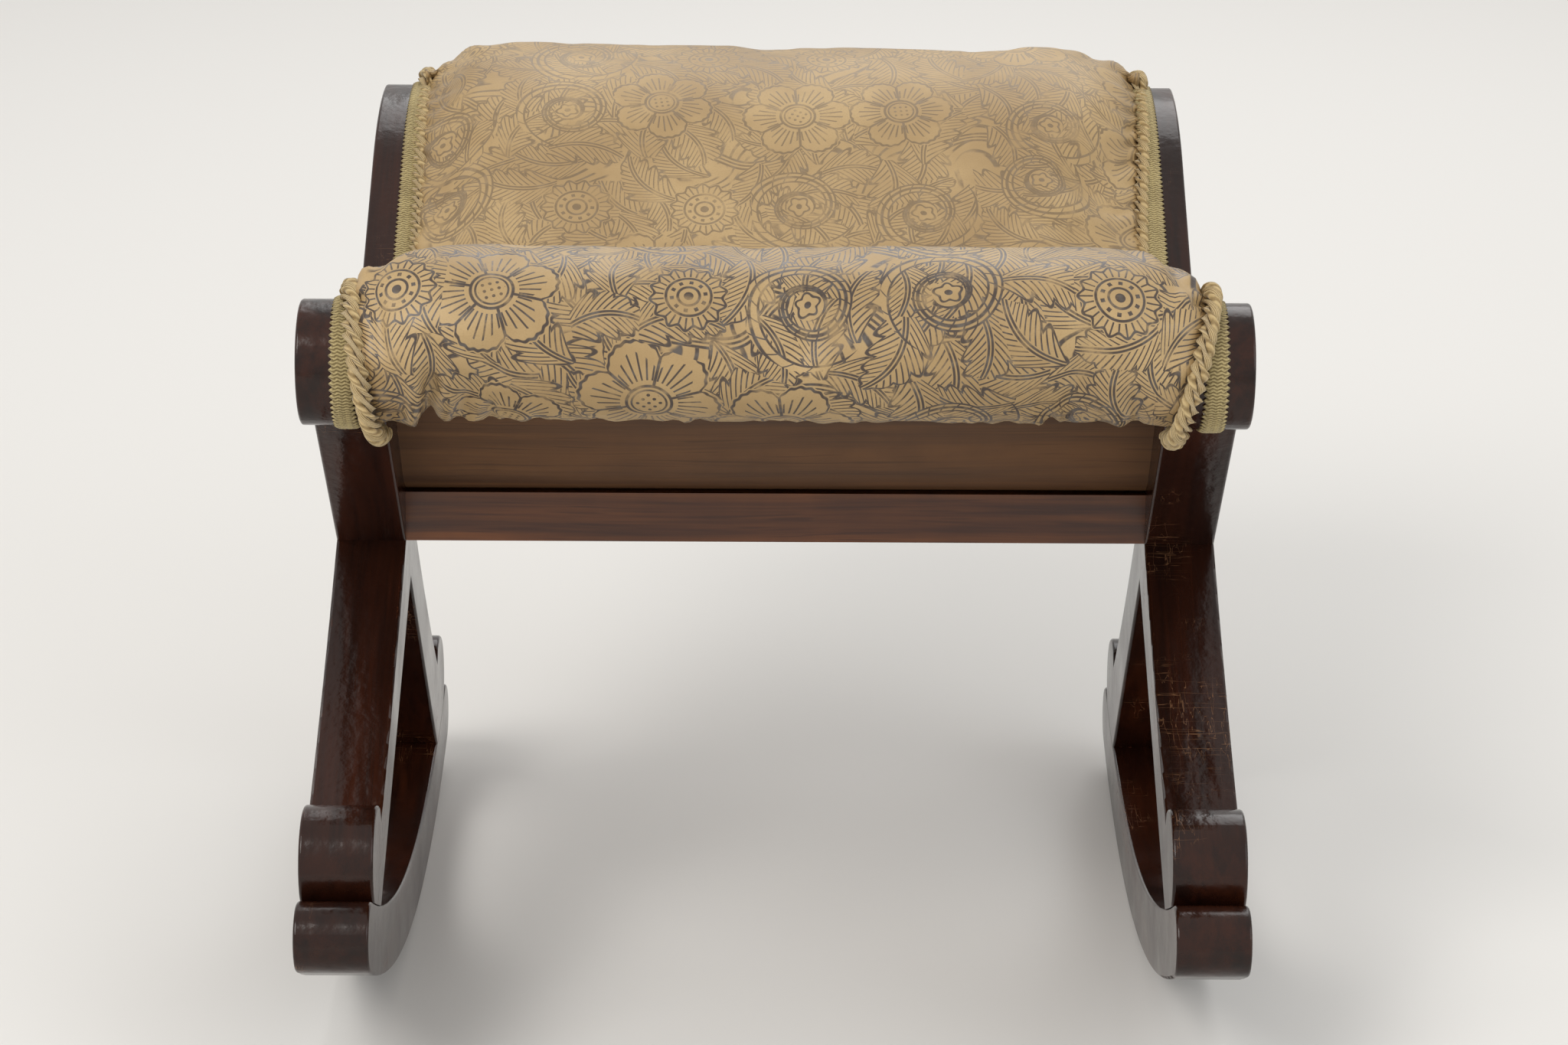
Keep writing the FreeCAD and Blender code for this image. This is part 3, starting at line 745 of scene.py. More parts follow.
def makeCord(side):
    path = cordPath(side)
    rows = round(path.length / cord["rowLength"])
    for number in range(cord["plies"]):
        twisted = number % 2 == 1
        mesh = wrappedGrid(cord["sides"], rows, plyPlace(path, number, twisted), path.length)
        bmesh.ops.remove_doubles(mesh, verts=mesh.verts, dist=cord["weld"])
        bmesh.ops.recalc_face_normals(mesh, faces=mesh.faces)
        ply = pieceFrom(mesh, "cord_ply_%d_%s" % (number + 1, side), twistedPly if twisted else smoothPly)
        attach(ply, "root")
    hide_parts("trim_cord_" + side)
    print("cord laid on the", side, "side:", round(path.length, 3), "m")


for side in sides:
    makeCord(side)


# Woven braid on the wood beside the cord

gimp = {
    "lineAt": 0.2205,  # between the tack holes and the edge, so that no hole catches a ray
    "middle": {"left": 0.2165, "right": 0.2205},
    "width": 11.6 * millimetre,
    "height": 1.6 * millimetre,
    "thickness": 1.3 * millimetre,
    "rib": 1.75 * millimetre,
    "ribDepth": 0.42 * millimetre,
    "ribWave": 1.3,
    "ribColumns": 3,
    "scallop": 3.5 * millimetre,
    "scallopDepth": 0.85 * millimetre,
    "edgeDrop": 0.55,
    "rowLength": 0.5 * millimetre,
    "columns": 12,
    "dark": (0.16, 0.115, 0.042, 1),
    "light": (0.52, 0.42, 0.20, 1),
    "fibre": (1100.0, 3, 0.7),
    "fibreShare": 0.7,
    "dirt": (60.0, 4),
    "dirtShare": 0.4,
    # painted shade: the ribs' share of the tone, darker in the grooves between them
    "ribShadeShare": 0.22,
    "toneRange": (0.25, 0.9),
    "roughness": (0.7, 0.92),
    "sheen": 0.2,
    "bump": (0.6, 0.4 * millimetre),
}


def gimpMaterial():
    material, wires, shader = startMaterial("oliveGimp")
    place = wires.node("TexCoord").outputs
    fibre = wires.noise(place["Object"], *gimp["fibre"])
    dirt = wires.noise(place["Object"], *gimp["dirt"])
    weave = wires.parts(place["UV"])
    swing = gimp["ribColumns"] * math.pi
    columns = wires.calc("COSINE", wires.calc("MULTIPLY_ADD", weave[0], 2 * swing, -swing))
    bent = wires.product(columns, gimp["ribWave"])
    # Painted shade: the colour follows the mesh's ribs, lighter on their crowns and darker in the grooves
    # between them
    ribShade = wires.calc("SINE", wires.calc("MULTIPLY_ADD", weave[1], fullTurn / gimp["rib"], bent))
    tone = wires.calc("MULTIPLY_ADD", fibre, gimp["fibreShare"], wires.product(dirt, gimp["dirtShare"]))
    tone = wires.calc("MULTIPLY_ADD", ribShade, gimp["ribShadeShare"], tone)
    tone = wires.ramp(tone, *gimp["toneRange"])
    wires.feed(shader["Base Color"], wires.blend(tone, gimp["dark"], gimp["light"]))
    wires.feed(shader["Roughness"], wires.ramp(dirt, 0, 1, *gimp["roughness"]))
    wires.feed(shader["Sheen Weight"], gimp["sheen"])
    wires.feed(shader["Normal"], wires.bump(fibre, *gimp["bump"]))
    return material


gimpCloth = gimpMaterial()


def makeGimp(side):
    sign = sides[side]
    path = armLine(side, sign * gimp["lineAt"])

    def place(acrossShare, alongShare):
        passed = alongShare * path.length
        ahead = path.direction(passed)
        outward = Vector((0, -ahead.z, ahead.y))
        across = 2 * acrossShare - 1
        wave = math.cos(fullTurn * passed / gimp["scallop"])
        reach = gimp["width"] / 2 + gimp["scallopDepth"] * wave
        crown = 1 - gimp["edgeDrop"] * abs(across) ** 6
        braided = math.cos(gimp["ribColumns"] * math.pi * across) * gimp["ribWave"]
        rib = math.sin(fullTurn * passed / gimp["rib"] + braided)
        height = gimp["height"] * crown + gimp["ribDepth"] * rib * (1 - across ** 4)
        point = path.at(passed) + outward * height
        point.x = sign * gimp["middle"][side] + across * reach
        return point

    rows = round(path.length / gimp["rowLength"])
    mesh = wrappedGrid(gimp["columns"], rows, place, path.length)
    bmesh.ops.recalc_face_normals(mesh, faces=mesh.faces)
    braid = pieceFrom(mesh, "gimp_braid_" + side, gimpCloth)
    shell = braid.modifiers.new("thickness", "SOLIDIFY")
    shell.thickness = gimp["thickness"]
    shell.offset = -1
    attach(braid, "root")
    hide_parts("braid_" + side)
    print("braid laid on the", side, "side:", round(path.length, 3), "m")


for side in sides:
    makeGimp(side)


# Embossed cloth: scattered flowers, volutes and rosettes over leaves and stems, printed in dark lines

pattern = {
    "line": 1.5 * millimetre,
    "bloomSpacing": 0.070,
    "bloomSize": 0.0335,
    "bloomScatter": 0.42,
    "blooms": (("flower", 0.0, 0.40, 1.0), ("volute", 0.40, 0.76, 1.0), ("rosette", 0.76, 1.0, 1.6)),
    "leafSpacing": 0.035,
    "leafSize": 0.050,
    "leafScatter": 0.5,
    "leafChance": 0.94,
    "leafLayers": ((0.0, 0.0, 0.0), (0.017, 0.019, 0.0)),
    "sizes": (0.16, 0.90),  # how much they differ, and the least
}
flower = {
    "petals": 6,
    "rim": (-1.15, 0.98),  # drop between the petals, and reach
    "rimPower": 2.4,
    "crinkles": 42.0,
    "crinkleDepth": 0.012,
    "outline": 1.15,
    "gapsFrom": 0.30,
    "flutes": 36,
    "fluteLine": 0.62,
    "flutesFrom": 0.40,
    "flutesTo": (-0.55, 0.86),
    "rings": ((0.31, 1.0), (0.24, 0.7)),  # radius, and share of the line's width
    "dotSpacing": (0.055, 0.055, 1),
    "dot": 0.026,
    "dotsTo": 0.2,
    "covers": 0.05,
}
rosette = {
    "scallops": 14.0,
    "scallopDepth": 0.06,
    "reach": 0.90,
    "rays": 28,
    "rayLine": 0.6,
    "raysFrom": 0.62,
    "rings": (0.56, 0.27),
    "ringLine": 0.9,
    "beads": 10,
    "beadRing": 0.42,
    "bead": 0.05,
    "middle": 0.12,
    "covers": 0.06,
}
volute = {
    "growth": 0.135 * fullTurn,  # from one turn to the next
    "least": 0.001,
    "inner": 0.13,
    "outer": 0.17,
    "lines": (1.2, 0.8),
    "slant": 1.4,
    "flutes": 17,
    "fluteLine": 0.7,
    "from": 0.24,
    "to": 0.99,
    "budShape": (1.0, 1.25, 1.0),
    "budPetals": 5.0,
    "bud": (0.03, 0.19),  # depth of the petals, and radius
    "budMiddle": 0.06,
    "budCovers": 0.25,
}
leaf = {
    "bow": 0.75,
    "rise": 0.10,
    "swell": 0.75,
    "lobes": 4.5,
    "width": (0.10, 0.20),  # of a lobe, and half the leaf's
    "outline": 1.1,
    "rib": 0.02,
    "ribLine": 0.8,
    "slant": -1.1,
    "fluteHalf": 0.038,
    "fluteLine": 0.7,
    "flutesFrom": 0.045,
    "covers": 0.02,
}
stems = {
    "wander": (9.0, 1),
    "wanderReach": 7.0,
    "wave": 0.118,
    "swing": 0.012,
    "spacing": 0.047,
    "middleLine": 0.8,
    "outerLine": 2.6 * millimetre,
    "flow": (13.0, 0.7, 0.4),
    "flowCount": 21.0,
    "flowRange": (0.10, 0.20, 1, 0),
    "breaks": (70.0, 1),
    "breakRange": (0.40, 0.50),
    "flowFrom": 3.4 * millimetre,
}
motifInputs = {"Vector": "Vector", "Width": "Float"}
motifOutputs = {"Line": "Float", "Cover": "Float"}


# Splits the cloth into cells; gives the place in a cell, turned at random, and the cell's chance
def makeScatterGroup():
    inputs = {"Vector": "Vector", "Spacing": "Float", "Scatter": "Float", "Size": "Float"}
    outputs = {"Vector": "Vector", "Width": "Float", "Chance": "Float"}
    wires, given, result = startGroup("scatter", inputs, outputs)
    scale = wires.calc("DIVIDE", 1.0, given["Spacing"])
    slots = {"Vector": given["Vector"], "Scale": scale, "Randomness": given["Scatter"]}
    cells = wires.node("TexVoronoi", slots, voronoi_dimensions="2D").outputs
    chances = wires.parts(cells["Color"])
    away = wires.vector("SUBTRACT", given["Vector"], cells["Position"])
    turn = {"Vector": away, "Angle": wires.product(chances[1], fullTurn)}
    turned = wires.node("VectorRotate", turn, rotation_type="Z_AXIS").outputs[0]
    size = wires.product(given["Size"], wires.calc("MULTIPLY_ADD", chances[2], *pattern["sizes"]))
    grown = {0: turned, "Scale": wires.calc("DIVIDE", 1.0, size)}
    wires.feed(result["Vector"], wires.node("VectorMath", grown, operation="SCALE").outputs[0])
    wires.feed(result["Width"], wires.calc("DIVIDE", pattern["line"], size))
    wires.feed(result["Chance"], chances[0])


# Fluted petals round a dotted middle
def makeFlowerGroup():
    wires, given, result = startGroup("flower", motifInputs, motifOutputs)
    width = given["Width"]
    length, angle = wires.polar(given["Vector"])
    half, halfFlute = math.pi / flower["petals"], math.pi / flower["flutes"]
    petal = wires.calc("ABSOLUTE", wires.wrapped(angle, half))
    rim = wires.calc("MULTIPLY_ADD", wires.calc("POWER", petal, flower["rimPower"]), *flower["rim"])
    rim = wires.wave("SINE", angle, flower["crinkles"], flower["crinkleDepth"], rim)
    fromRim = wires.away(length, rim)
    gap = wires.product(wires.away(half, petal), length)
    gaps = wires.product(wires.near(gap, width), wires.under(flower["gapsFrom"], length))
    flute = wires.product(wires.wrapped(wires.calc("ADD", angle, halfFlute), halfFlute), length)
    flutesTo = wires.calc("MULTIPLY_ADD", petal, *flower["flutesTo"])
    flutes = wires.near(flute, width, flower["fluteLine"])
    flutes = wires.product(flutes, wires.under(flower["flutesFrom"], length), wires.under(length, flutesTo))
    rings = [wires.near(wires.away(length, radius), width, share) for radius, share in flower["rings"]]
    spacing = Vector(flower["dotSpacing"])
    dot = wires.polar(wires.vector("WRAP", given["Vector"], spacing, -spacing))[0]
    dots = wires.product(wires.under(dot, flower["dot"]), wires.under(length, flower["dotsTo"]))
    drawn = wires.product(wires.most(gaps, flutes, *rings, dots), wires.under(fromRim, 0.0))
    wires.feed(result["Line"], wires.most(wires.near(fromRim, width, flower["outline"]), drawn))
    wires.feed(result["Cover"], wires.under(fromRim, flower["covers"]))


# Short fern edges round two rings, beads between them and a dot
def makeRosetteGroup():
    wires, given, result = startGroup("rosette", motifInputs, motifOutputs)
    width = given["Width"]
    length, angle = wires.polar(given["Vector"])
    rim = wires.wave("COSINE", angle, rosette["scallops"], rosette["scallopDepth"], rosette["reach"])
    fromRim = wires.away(length, rim)
    ray = wires.product(wires.wrapped(angle, math.pi / rosette["rays"]), length)
    rays = wires.product(wires.near(ray, width, rosette["rayLine"]), wires.under(rosette["raysFrom"], length))
    fromRings = [wires.away(length, radius) for radius in rosette["rings"]]
    rings = [wires.near(away, width, rosette["ringLine"]) for away in fromRings]
    bead = wires.product(wires.wrapped(angle, math.pi / rosette["beads"]), length)
    fromBeads = [bead, wires.away(length, rosette["beadRing"])]
    beads = wires.product(*[wires.under(wires.calc("ABSOLUTE", away), rosette["bead"]) for away in fromBeads])
    inside = wires.most(rays, *rings, beads, wires.under(length, rosette["middle"]))
    inside = wires.product(inside, wires.under(fromRim, 0.0))
    wires.feed(result["Line"], wires.most(wires.near(fromRim, width), inside))
    wires.feed(result["Cover"], wires.under(fromRim, rosette["covers"]))


# A widening double line that curls in to a bud
def makeVoluteGroup():
    wires, given, result = startGroup("volute", motifInputs, motifOutputs)
    width = given["Width"]
    length, angle = wires.polar(given["Vector"])
    natural = wires.calc("LOGARITHM", wires.calc("MAXIMUM", length, volute["least"]), math.e)
    winding = wires.product(natural, 1 / volute["growth"])
    phase = wires.wrapped(wires.away(winding, wires.product(angle, 1 / fullTurn)), 0.5)
    first = wires.product(phase, length, volute["growth"])
    second = wires.away(first, wires.product(length, volute["inner"]))
    third = wires.calc("ADD", first, wires.product(length, volute["outer"]))
    slanted = wires.calc("MULTIPLY_ADD", length, volute["slant"], angle)
    flute = wires.product(wires.wrapped(slanted, math.pi / volute["flutes"]), length)
    inBand = wires.product(wires.under(0.0, third), wires.under(second, 0.0))
    flutes = wires.product(inBand, wires.near(flute, width, volute["fluteLine"]))
    broad, thin = volute["lines"]
    edges = [wires.near(second, width, thin), wires.near(third, width, thin)]
    lines = wires.most(wires.near(first, width, broad), *edges, flutes)
    lines = wires.product(lines, wires.under(volute["from"], length), wires.under(length, volute["to"]))
    budLength = wires.polar(wires.vector("MULTIPLY", given["Vector"], volute["budShape"]))[0]
    petals = wires.wave("COSINE", angle, volute["budPetals"], *volute["bud"])
    budRim = wires.near(wires.away(budLength, petals), width)
    bud = wires.most(budRim, wires.under(budLength, volute["budMiddle"]))
    wires.feed(result["Line"], wires.most(lines, bud))
    covered = wires.product(inBand, wires.under(length, volute["to"]))
    wires.feed(result["Cover"], wires.most(covered, wires.under(budLength, volute["budCovers"])))


# A curved, lobed leaf along X with a double midrib and slanting flutes
def makeLeafGroup():
    wires, given, result = startGroup("leaf", motifInputs, motifOutputs)
    width = given["Width"]
    parts = wires.parts(given["Vector"])
    along = wires.calc("ADD", parts[0], 0.5)
    bow = wires.product(along, wires.away(1.0, along), leaf["bow"])
    beside = wires.calc("ABSOLUTE", wires.away(wires.calc("ADD", parts[1], leaf["rise"]), bow))
    swell = wires.calc("POWER", wires.calc("SINE", wires.product(along, math.pi)), leaf["swell"])
    lobed = wires.product(wires.away(along, beside), leaf["lobes"] * math.pi)
    lobes = wires.calc("ABSOLUTE", wires.calc("SINE", lobed))
    reach = wires.product(swell, wires.calc("MULTIPLY_ADD", lobes, *leaf["width"]))
    within = wires.product(wires.under(0.0, along), wires.under(along, 1.0))
    fromRim = wires.away(beside, reach)
    rib = wires.near(wires.away(beside, leaf["rib"]), width, leaf["ribLine"])
    slant = wires.wrapped(wires.calc("MULTIPLY_ADD", beside, leaf["slant"], along), leaf["fluteHalf"])
    flutes = wires.near(slant, width, leaf["fluteLine"])
    flutes = wires.product(flutes, wires.under(leaf["flutesFrom"], beside))
    inside = wires.product(wires.most(rib, flutes), wires.under(fromRim, 0.0))
    drawn = wires.most(wires.near(fromRim, width, leaf["outline"]), inside)
    wires.feed(result["Line"], wires.product(drawn, within))
    wires.feed(result["Cover"], wires.product(wires.under(fromRim, leaf["covers"]), within))


# Three-line stems that wind across the cloth, with broken contour lines between them
def makeStemGroup():
    wires, given, result = startGroup("stems", {"Vector": "Vector"}, {"Line": "Float"})
    parts = wires.parts(given["Vector"])
    wander = wires.product(wires.noise(given["Vector"], *stems["wander"]), stems["wanderReach"])
    phase = wires.calc("MULTIPLY_ADD", parts[0], fullTurn / stems["wave"], wander)
    swung = wires.calc("MULTIPLY_ADD", wires.calc("SINE", phase), stems["swing"], parts[1])
    away = wires.calc("ABSOLUTE", wires.wrapped(swung, stems["spacing"] / 2))
    middle = wires.near(away, pattern["line"], stems["middleLine"])
    outer = wires.near(wires.away(away, stems["outerLine"]), pattern["line"])
    field = wires.product(wires.noise(given["Vector"], *stems["flow"]), stems["flowCount"])
    flow = wires.ramp(wires.calc("ABSOLUTE", wires.wrapped(field, 0.5)), *stems["flowRange"])
    broken = wires.ramp(wires.noise(given["Vector"], *stems["breaks"]), *stems["breakRange"])
    flow = wires.product(flow, broken, wires.calc("GREATER_THAN", away, stems["flowFrom"]))
    wires.feed(result["Line"], wires.most(middle, outer, flow))


makeScatterGroup()
makeFlowerGroup()
makeRosetteGroup()
makeVoluteGroup()
makeLeafGroup()
makeStemGroup()


# One motif laid over the lines below it, which its cover hides
def laid(wires, ink, motif, share):
    covered = wires.product(motif["Cover"], share)
    kept = wires.product(ink, wires.away(1.0, covered))
    return wires.most(kept, wires.product(motif["Line"], share))


def scattered(wires, vector, kind):
    slots = {name: pattern[kind + name] for name in ("Spacing", "Scatter", "Size")}
    return wires.group("scatter", {"Vector": vector, **slots})


# All the motifs over each other: stems, two layers of leaves, then flowers, volutes and rosettes
def makeInkGroup():
    wires, given, result = startGroup("embossing", {"Vector": "Vector"}, {"Line": "Float"})
    vector = given["Vector"]
    ink = wires.group("stems", {"Vector": vector})["Line"]
    for shift in pattern["leafLayers"]:
        spot = scattered(wires, wires.vector("ADD", vector, shift), "leaf")
        motif = wires.group("leaf", {"Vector": spot["Vector"], "Width": spot["Width"]})
        ink = laid(wires, ink, motif, wires.under(spot["Chance"], pattern["leafChance"]))
    spot = scattered(wires, vector, "bloom")
    for name, first, last, smaller in pattern["blooms"]:
        chosen = wires.product(wires.under(spot["Chance"], last), wires.under(first, spot["Chance"]))
        local = wires.vector("MULTIPLY", spot["Vector"], (smaller, smaller, 1.0))
        motif = wires.group(name, {"Vector": local, "Width": wires.product(spot["Width"], smaller)})
        ink = laid(wires, ink, motif, chosen)
    wires.feed(result["Line"], ink)


makeInkGroup()

cloth = {
    "light": (0.50, 0.350, 0.170, 1),
    "dark": (0.36, 0.238, 0.105, 1),
    "ink": (0.060, 0.042, 0.032, 1),
    # painted highlight: a paler ink colour, laid in random patches, that stands in for the lines' shine and
    # partly for ink rubbed thin
    "paintedShine": (0.105, 0.088, 0.075, 1),
    "patches": (55.0, 4, 0.65),
    "patchRange": (0.30, 0.52, 0.35, 1.0),
    "rearFadeRange": (0.24, 0.42, 1.0, 0.55),  # painted light: the ink fades from the seat to the rear roll, where the lines look paler in the light
    "pebble": (950.0, 2, 0.6),
    "pebbleRange": (0.35, 0.5, 0.35, 0.0),
    "cloud": (12.0, 4, 0.6),
    "cloudRange": (0.3, 0.72),
    "paintedGlints": (140.0, 3),
    "paintedGlintRange": (0.45, 0.7),
    "roughness": (0.42, 0.62),
    "inkRoughness": -0.16,
    "pebbleBump": (0.28, 0.4 * millimetre),
    "inkBump": (-0.8, 1.0 * millimetre),
}


def clothMaterial():
    material, wires, shader = startMaterial("embossedCloth")
    flat = wires.node("TexCoord").outputs["UV"]
    ink = wires.group("embossing", {"Vector": flat})["Line"]
    patchy = wires.ramp(wires.noise(flat, *cloth["patches"]), *cloth["patchRange"])
    # Painted light: the ink is made fainter from the seat to the rear roll
    rearFade = wires.ramp(wires.parts(flat)[1], *cloth["rearFadeRange"])
    ink = wires.product(ink, patchy, rearFade)
    pebble = wires.noise(flat, *cloth["pebble"])
    cloudy = wires.ramp(wires.noise(flat, *cloth["cloud"]), *cloth["cloudRange"])
    ground = wires.blend(cloudy, cloth["dark"], cloth["light"])
    ground = wires.blend(wires.ramp(pebble, *cloth["pebbleRange"]), ground, cloth["dark"])
    # Painted highlight: random patches of the ink are made paler, for the lines' shine and partly for rubbed
    # ink
    paintedGlints = wires.ramp(wires.noise(flat, *cloth["paintedGlints"]), *cloth["paintedGlintRange"])
    tone = wires.blend(paintedGlints, cloth["ink"], cloth["paintedShine"])
    wires.feed(shader["Base Color"], wires.blend(ink, ground, tone))
    rough = wires.ramp(pebble, 0, 1, *cloth["roughness"])
    wires.feed(shader["Roughness"], wires.calc("MULTIPLY_ADD", ink, cloth["inkRoughness"], rough))
    normal = wires.bump(pebble, *cloth["pebbleBump"])
    wires.feed(shader["Normal"], wires.bump(ink, *cloth["inkBump"], normal))
    return material


# Seat cover: one cloth over the front roll, the seat and the rear roll

cover = {
    "columns": 76,
    "rows": 160,
    "frontTurns": (-21, -312),
    "rearTurns": (111, -184),
    "edge": 0.1995,  # of the padding between the frames
    "woodFrom": 0.2045,
    "overWood": 0.5 * millimetre,
    "overShare": 0.3,  # of the way to the cord, where the cloth starts down to the wood
    "underCord": 1.5 * millimetre,
    "tuckX": 0.1975,
    "tuckRange": (-0.01, 0.02),
    "rollEnds": 52 * millimetre,
    "thickness": 1.6 * millimetre,
    "fineness": 1,
    "seatMiddle": Vector((0, 0.04, 0.3)),
}
swelling = {
    "frames": 20,
    "heldRows": 3,
    "heldColumns": 2,
    "mostMove": 4.5 * millimetre,
    "settings": {
        "quality": 6,
        "mass": 0.25,
        "tension_stiffness": 12,
        "compression_stiffness": 12,
        "shear_stiffness": 6,
        "bending_stiffness": 0.6,
        "use_pressure": True,
        "uniform_pressure_force": 4.0,
        "shrink_min": -0.025,
        "vertex_group_mass": "held",
        "pin_stiffness": 50,
    },
}
# Folds pressed in where the cloth is gathered: start and end as (x, length along the cloth), depth and width
folds = [
    {"start": (-0.169, 0.128), "end": (-0.177, 0.050), "depth": 8.0, "width": 4.2},
    {"start": (-0.154, 0.100), "end": (-0.161, 0.052), "depth": 2.6, "width": 3.6},
    {"start": (-0.141, 0.092), "end": (-0.146, 0.052), "depth": 2.2, "width": 3.6},
    {"start": (-0.118, 0.080), "end": (-0.122, 0.050), "depth": 1.6, "width": 3.6},
    {"start": (0.134, 0.092), "end": (0.142, 0.050), "depth": 2.8, "width": 4.0},
    {"start": (0.176, 0.118), "end": (0.184, 0.052), "depth": 3.0, "width": 4.2},
    {"start": (0.060, 0.076), "end": (0.064, 0.048), "depth": 1.4, "width": 3.4},
    {"start": (-0.040, 0.078), "end": (-0.036, 0.048), "depth": 1.5, "width": 3.6},
    {"start": (-0.186, 0.215), "end": (-0.200, 0.176), "depth": 2.2, "width": 4.5},
    {"start": (0.184, 0.222), "end": (0.202, 0.180), "depth": 2.4, "width": 4.5},
]
foldShape = {"before": -0.25, "after": 1.6, "full": 0.75, "ridge": 0.75, "ridgeAt": 1.9}
pucker = {  # depths in millimetres, the rest in metres
    "depth": 1.3,
    "wave": 0.013,
    "start": 0.046,
    "reach": 0.042,
    "wander": ((0.006, 47), (0.003, 131)),
    "uneven": (0.6, 0.4, 61),
    "sideDepth": 0.9,
    "sideWave": 0.019,
    "sideReach": 0.030,
    "sideWander": (0.008, 29),
    "sideSlant": 0.3,
}


# How far out the cover reaches: over the wood up to the cord, but between the frames below the rolls
def coverLimit(side, spine, passed):
    ends = cover["rollEnds"]
    along = (passed - ends) / (spine.length - 2 * ends)
    reach = cordX(side, min(1.0, max(0.0, along))) + cover["underCord"]
    inside = eased(*cover["tuckRange"], min(along, 1 - along))
    return mixed(cover["tuckX"], reach, inside)


def coverPoint(side, x, limit, ray):
    inner = max(-cover["edge"], min(cover["edge"], x))
    top = hitOn(coverTree, inner, *ray)
    if top is None or abs(x) <= cover["edge"]:
        return top
    wood = hitOn(armTrees[side], sides[side] * max(abs(x), cover["woodFrom"]), *ray)
    if wood is None:
        top.x = x
        return top
    wood = wood + (top - wood).normalized() * cover["overWood"]
    share = eased(mixed(cover["edge"], limit, cover["overShare"]), limit, abs(x))
    low = mixed(top, wood, share)
    low.x = x
    return low


# The cover's columns as lines along the cradle, from left to right, and the line along its middle
def coverLines():
    rays = cradleRays(coverTree, 0.0, cover["frontTurns"], cover["rearTurns"], tracing["coverLift"])
    spine = Line([hitOn(coverTree, 0.0, *ray) for ray in rays])
    lines = []
    for column in range(cover["columns"] + 1):
        share = column / cover["columns"]
        side = "left" if share < 0.5 else "right"
        hits = []
        for ray, passed in zip(rays, spine.passed):
            limit = coverLimit(side, spine, passed)
            hits.append(coverPoint(side, mixed(-limit, limit, share), limit, ray))
        lines.append(Line([hit for hit in hits if hit]))
    return lines, spine


# The sheet before it swells; its UV map holds x and the length along the cradle, in metres
def makeSheet(lines, spine):
    mesh = bmesh.new()
    columns, rows = cover["columns"], cover["rows"]
    bmesh.ops.create_grid(mesh, x_segments=columns, y_segments=rows, size=0.5, calc_uvs=True)
    mesh.verts.index_update()
    spots = {}
    for vertex in mesh.verts:
        line = lines[round((vertex.co.x + 0.5) * columns)]
        share = vertex.co.y + 0.5
        vertex.co = line.at(share * line.length)
        spots[vertex.index] = (vertex.co.x, share * spine.length)
    uvMap = mesh.loops.layers.uv.verify()
    for face in mesh.faces:
        for corner in face.loops:
            corner[uvMap].uv = spots[corner.vert.index]
    mesh.normal_update()
    middle = min(mesh.verts, key=lambda vertex: (vertex.co - cover["seatMiddle"]).length)
    if middle.normal.z < 0:
        bmesh.ops.reverse_faces(mesh, faces=mesh.faces)
    return pieceFrom(mesh, "seat_sheet")


# Lets the cloth swell and wrinkle between its held borders, and keeps each point near where it began
def swell(sheet):
    rows, columns = cover["rows"], cover["columns"]
    held = sheet.vertex_groups.new(name="held")
    for vertex in sheet.data.vertices:
        column, row = vertex.index % (columns + 1), vertex.index // (columns + 1)
        fromSide = min(column, columns - column) - swelling["heldColumns"]
        fromEnd = min(row, rows - row) - swelling["heldRows"]
        if min(fromSide, fromEnd) < 0:
            held.add([vertex.index], 1.0, "REPLACE")
    before = [vertex.co.copy() for vertex in sheet.data.vertices]
    simulated = sheet.modifiers.new("swell", "CLOTH")
    for name, value in swelling["settings"].items():
        setattr(simulated.settings, name, value)
    simulated.settings.effector_weights.gravity = 0
    simulated.point_cache.frame_start = 1
    simulated.point_cache.frame_end = swelling["frames"]
    for number in range(1, swelling["frames"] + 1):
        bpy.context.scene.frame_set(number)
    shape = sheet.evaluated_get(bpy.context.evaluated_depsgraph_get()).data
    after = [vertex.co.copy() for vertex in shape.vertices]
    sheet.modifiers.remove(simulated)
    bpy.context.scene.frame_set(1)
    for vertex, start, end in zip(sheet.data.vertices, before, after):
        move = end - start
        if move.length > swelling["mostMove"]:
            move = move.normalized() * swelling["mostMove"]
        vertex.co = start + move


def foldDepth(fold, x, passed):
    start, end = Vector(fold["start"]), Vector(fold["end"])
    line = end - start
    spot = Vector((x, passed)) - start
    share = spot.dot(line) / line.length_squared
    if not foldShape["before"] < share < foldShape["after"]:
        return 0.0
    beside = (spot.x * line.y - spot.y * line.x) / line.length / millimetre
    valley = math.exp(-(beside / fold["width"]) ** 2)
    ridgeAway = (beside - foldShape["ridgeAt"] * fold["width"]) / fold["width"]
    ridge = foldShape["ridge"] * math.exp(-ridgeAway ** 2)
    return (ridge - valley) * fold["depth"] * eased(foldShape["before"], foldShape["full"], share)


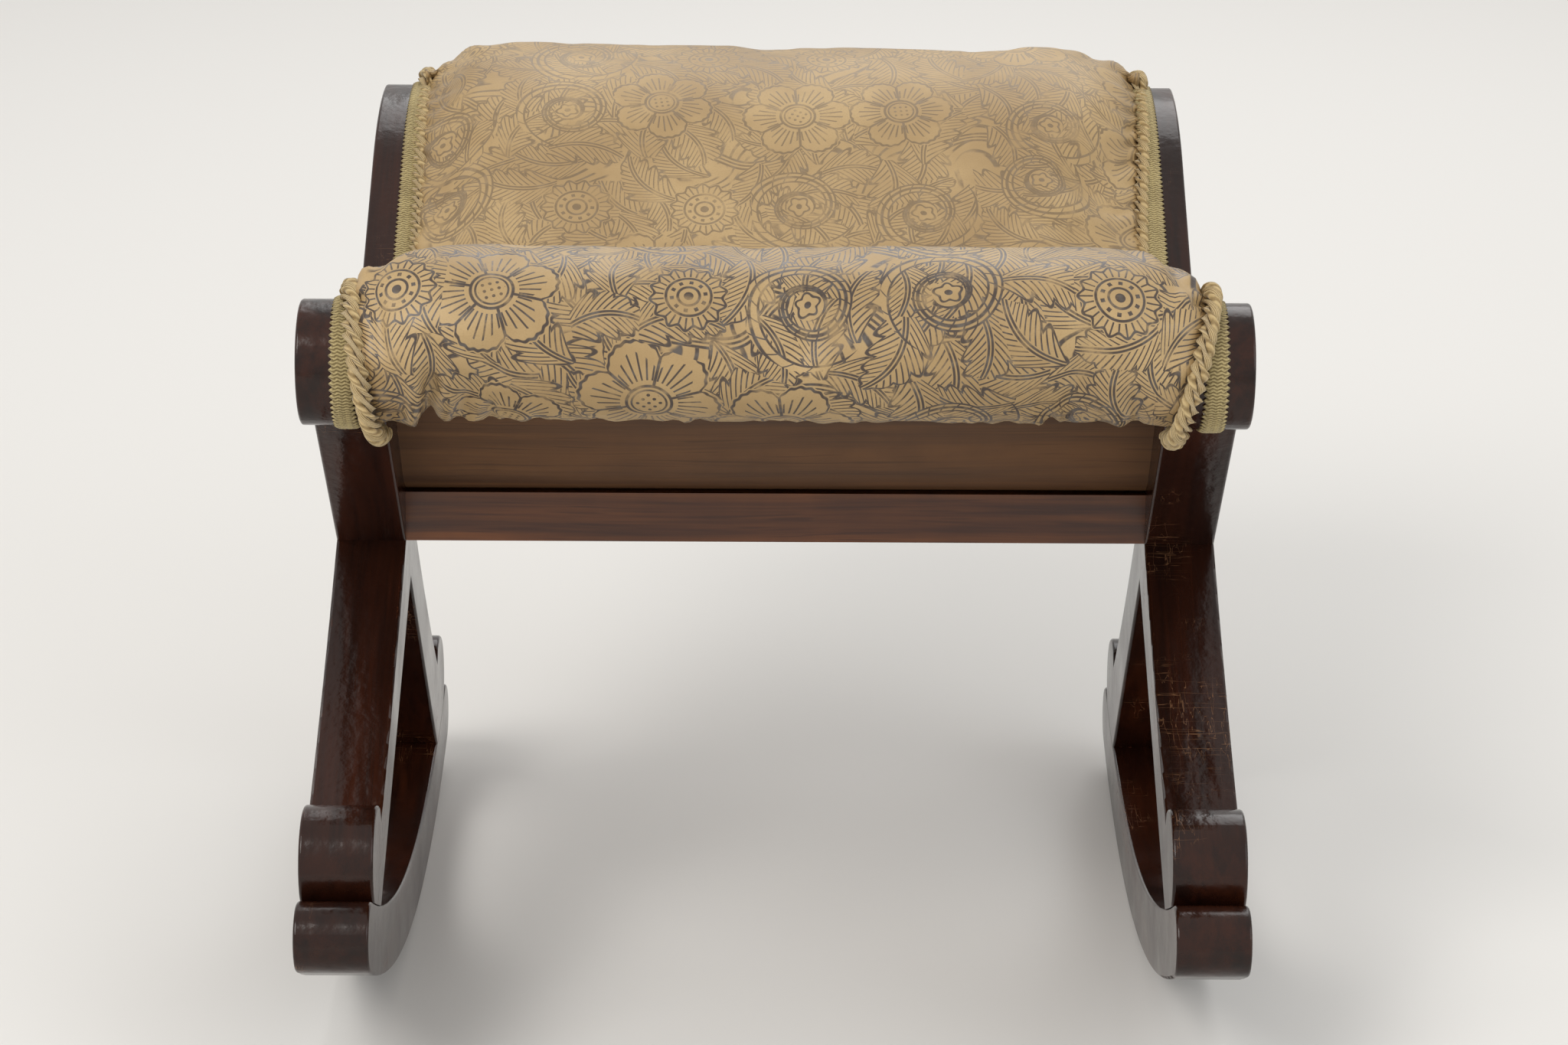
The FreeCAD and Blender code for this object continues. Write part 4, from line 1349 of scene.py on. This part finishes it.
# How far out of the cloth's smooth shape a point lies
def creased(x, passed, length, limit):
    toEnd = min(passed, length - passed)
    depth = sum(foldDepth(fold, x, passed) for fold in folds)
    depth += sum(foldDepth(fold, -x, length - passed) for fold in folds)
    low = 1 - eased(pucker["start"], pucker["start"] + pucker["reach"], toEnd)
    (reach, pace), (fineReach, finePace) = pucker["wander"]
    wander = x + reach * math.sin(x * pace) + fineReach * math.sin(x * finePace)
    least, more, pace = pucker["uneven"]
    uneven = least + more * math.sin(x * pace)
    depth += pucker["depth"] * low * math.sin(fullTurn * wander / pucker["wave"]) * uneven
    side = 1 - eased(0.0, pucker["sideReach"], limit - abs(x))
    reach, pace = pucker["sideWander"]
    along = passed + reach * math.sin(passed * pace) + pucker["sideSlant"] * (limit - abs(x))
    depth += pucker["sideDepth"] * side * math.sin(fullTurn * along / pucker["sideWave"])
    return depth * millimetre


# The sheet, finer and with its folds pressed in
def foldedMesh(sheet, spine):
    finer = sheet.modifiers.new("finer", "SUBSURF")
    finer.levels = cover["fineness"]
    finer.render_levels = cover["fineness"]
    data = bpy.data.meshes.new_from_object(sheet.evaluated_get(bpy.context.evaluated_depsgraph_get()))
    bpy.data.objects.remove(sheet)
    mesh = bmesh.new()
    mesh.from_mesh(data)
    uvMap = mesh.loops.layers.uv.verify()
    mesh.normal_update()
    moves = []
    for vertex in mesh.verts:
        passed = vertex.link_loops[0][uvMap].uv.y
        side = "left" if vertex.co.x < 0 else "right"
        limit = coverLimit(side, spine, passed)
        moves.append(vertex.normal * creased(vertex.co.x, passed, spine.length, limit))
    for vertex, move in zip(mesh.verts, moves):
        vertex.co += move
    return mesh


def makeCover():
    lines, spine = coverLines()
    sheet = makeSheet(lines, spine)
    swell(sheet)
    print("cloth swelled")
    seat = pieceFrom(foldedMesh(sheet, spine), "seat_cover_cloth", clothMaterial())
    shell = seat.modifiers.new("thickness", "SOLIDIFY")
    shell.thickness = cover["thickness"]
    shell.offset = -1
    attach(seat, "root")
    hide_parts("seat_cover", "seat_stuffing", "front_roll_stuffing", "rear_roll_stuffing")
    print("cover made:", round(spine.length, 3), "m along the cradle")


makeCover()
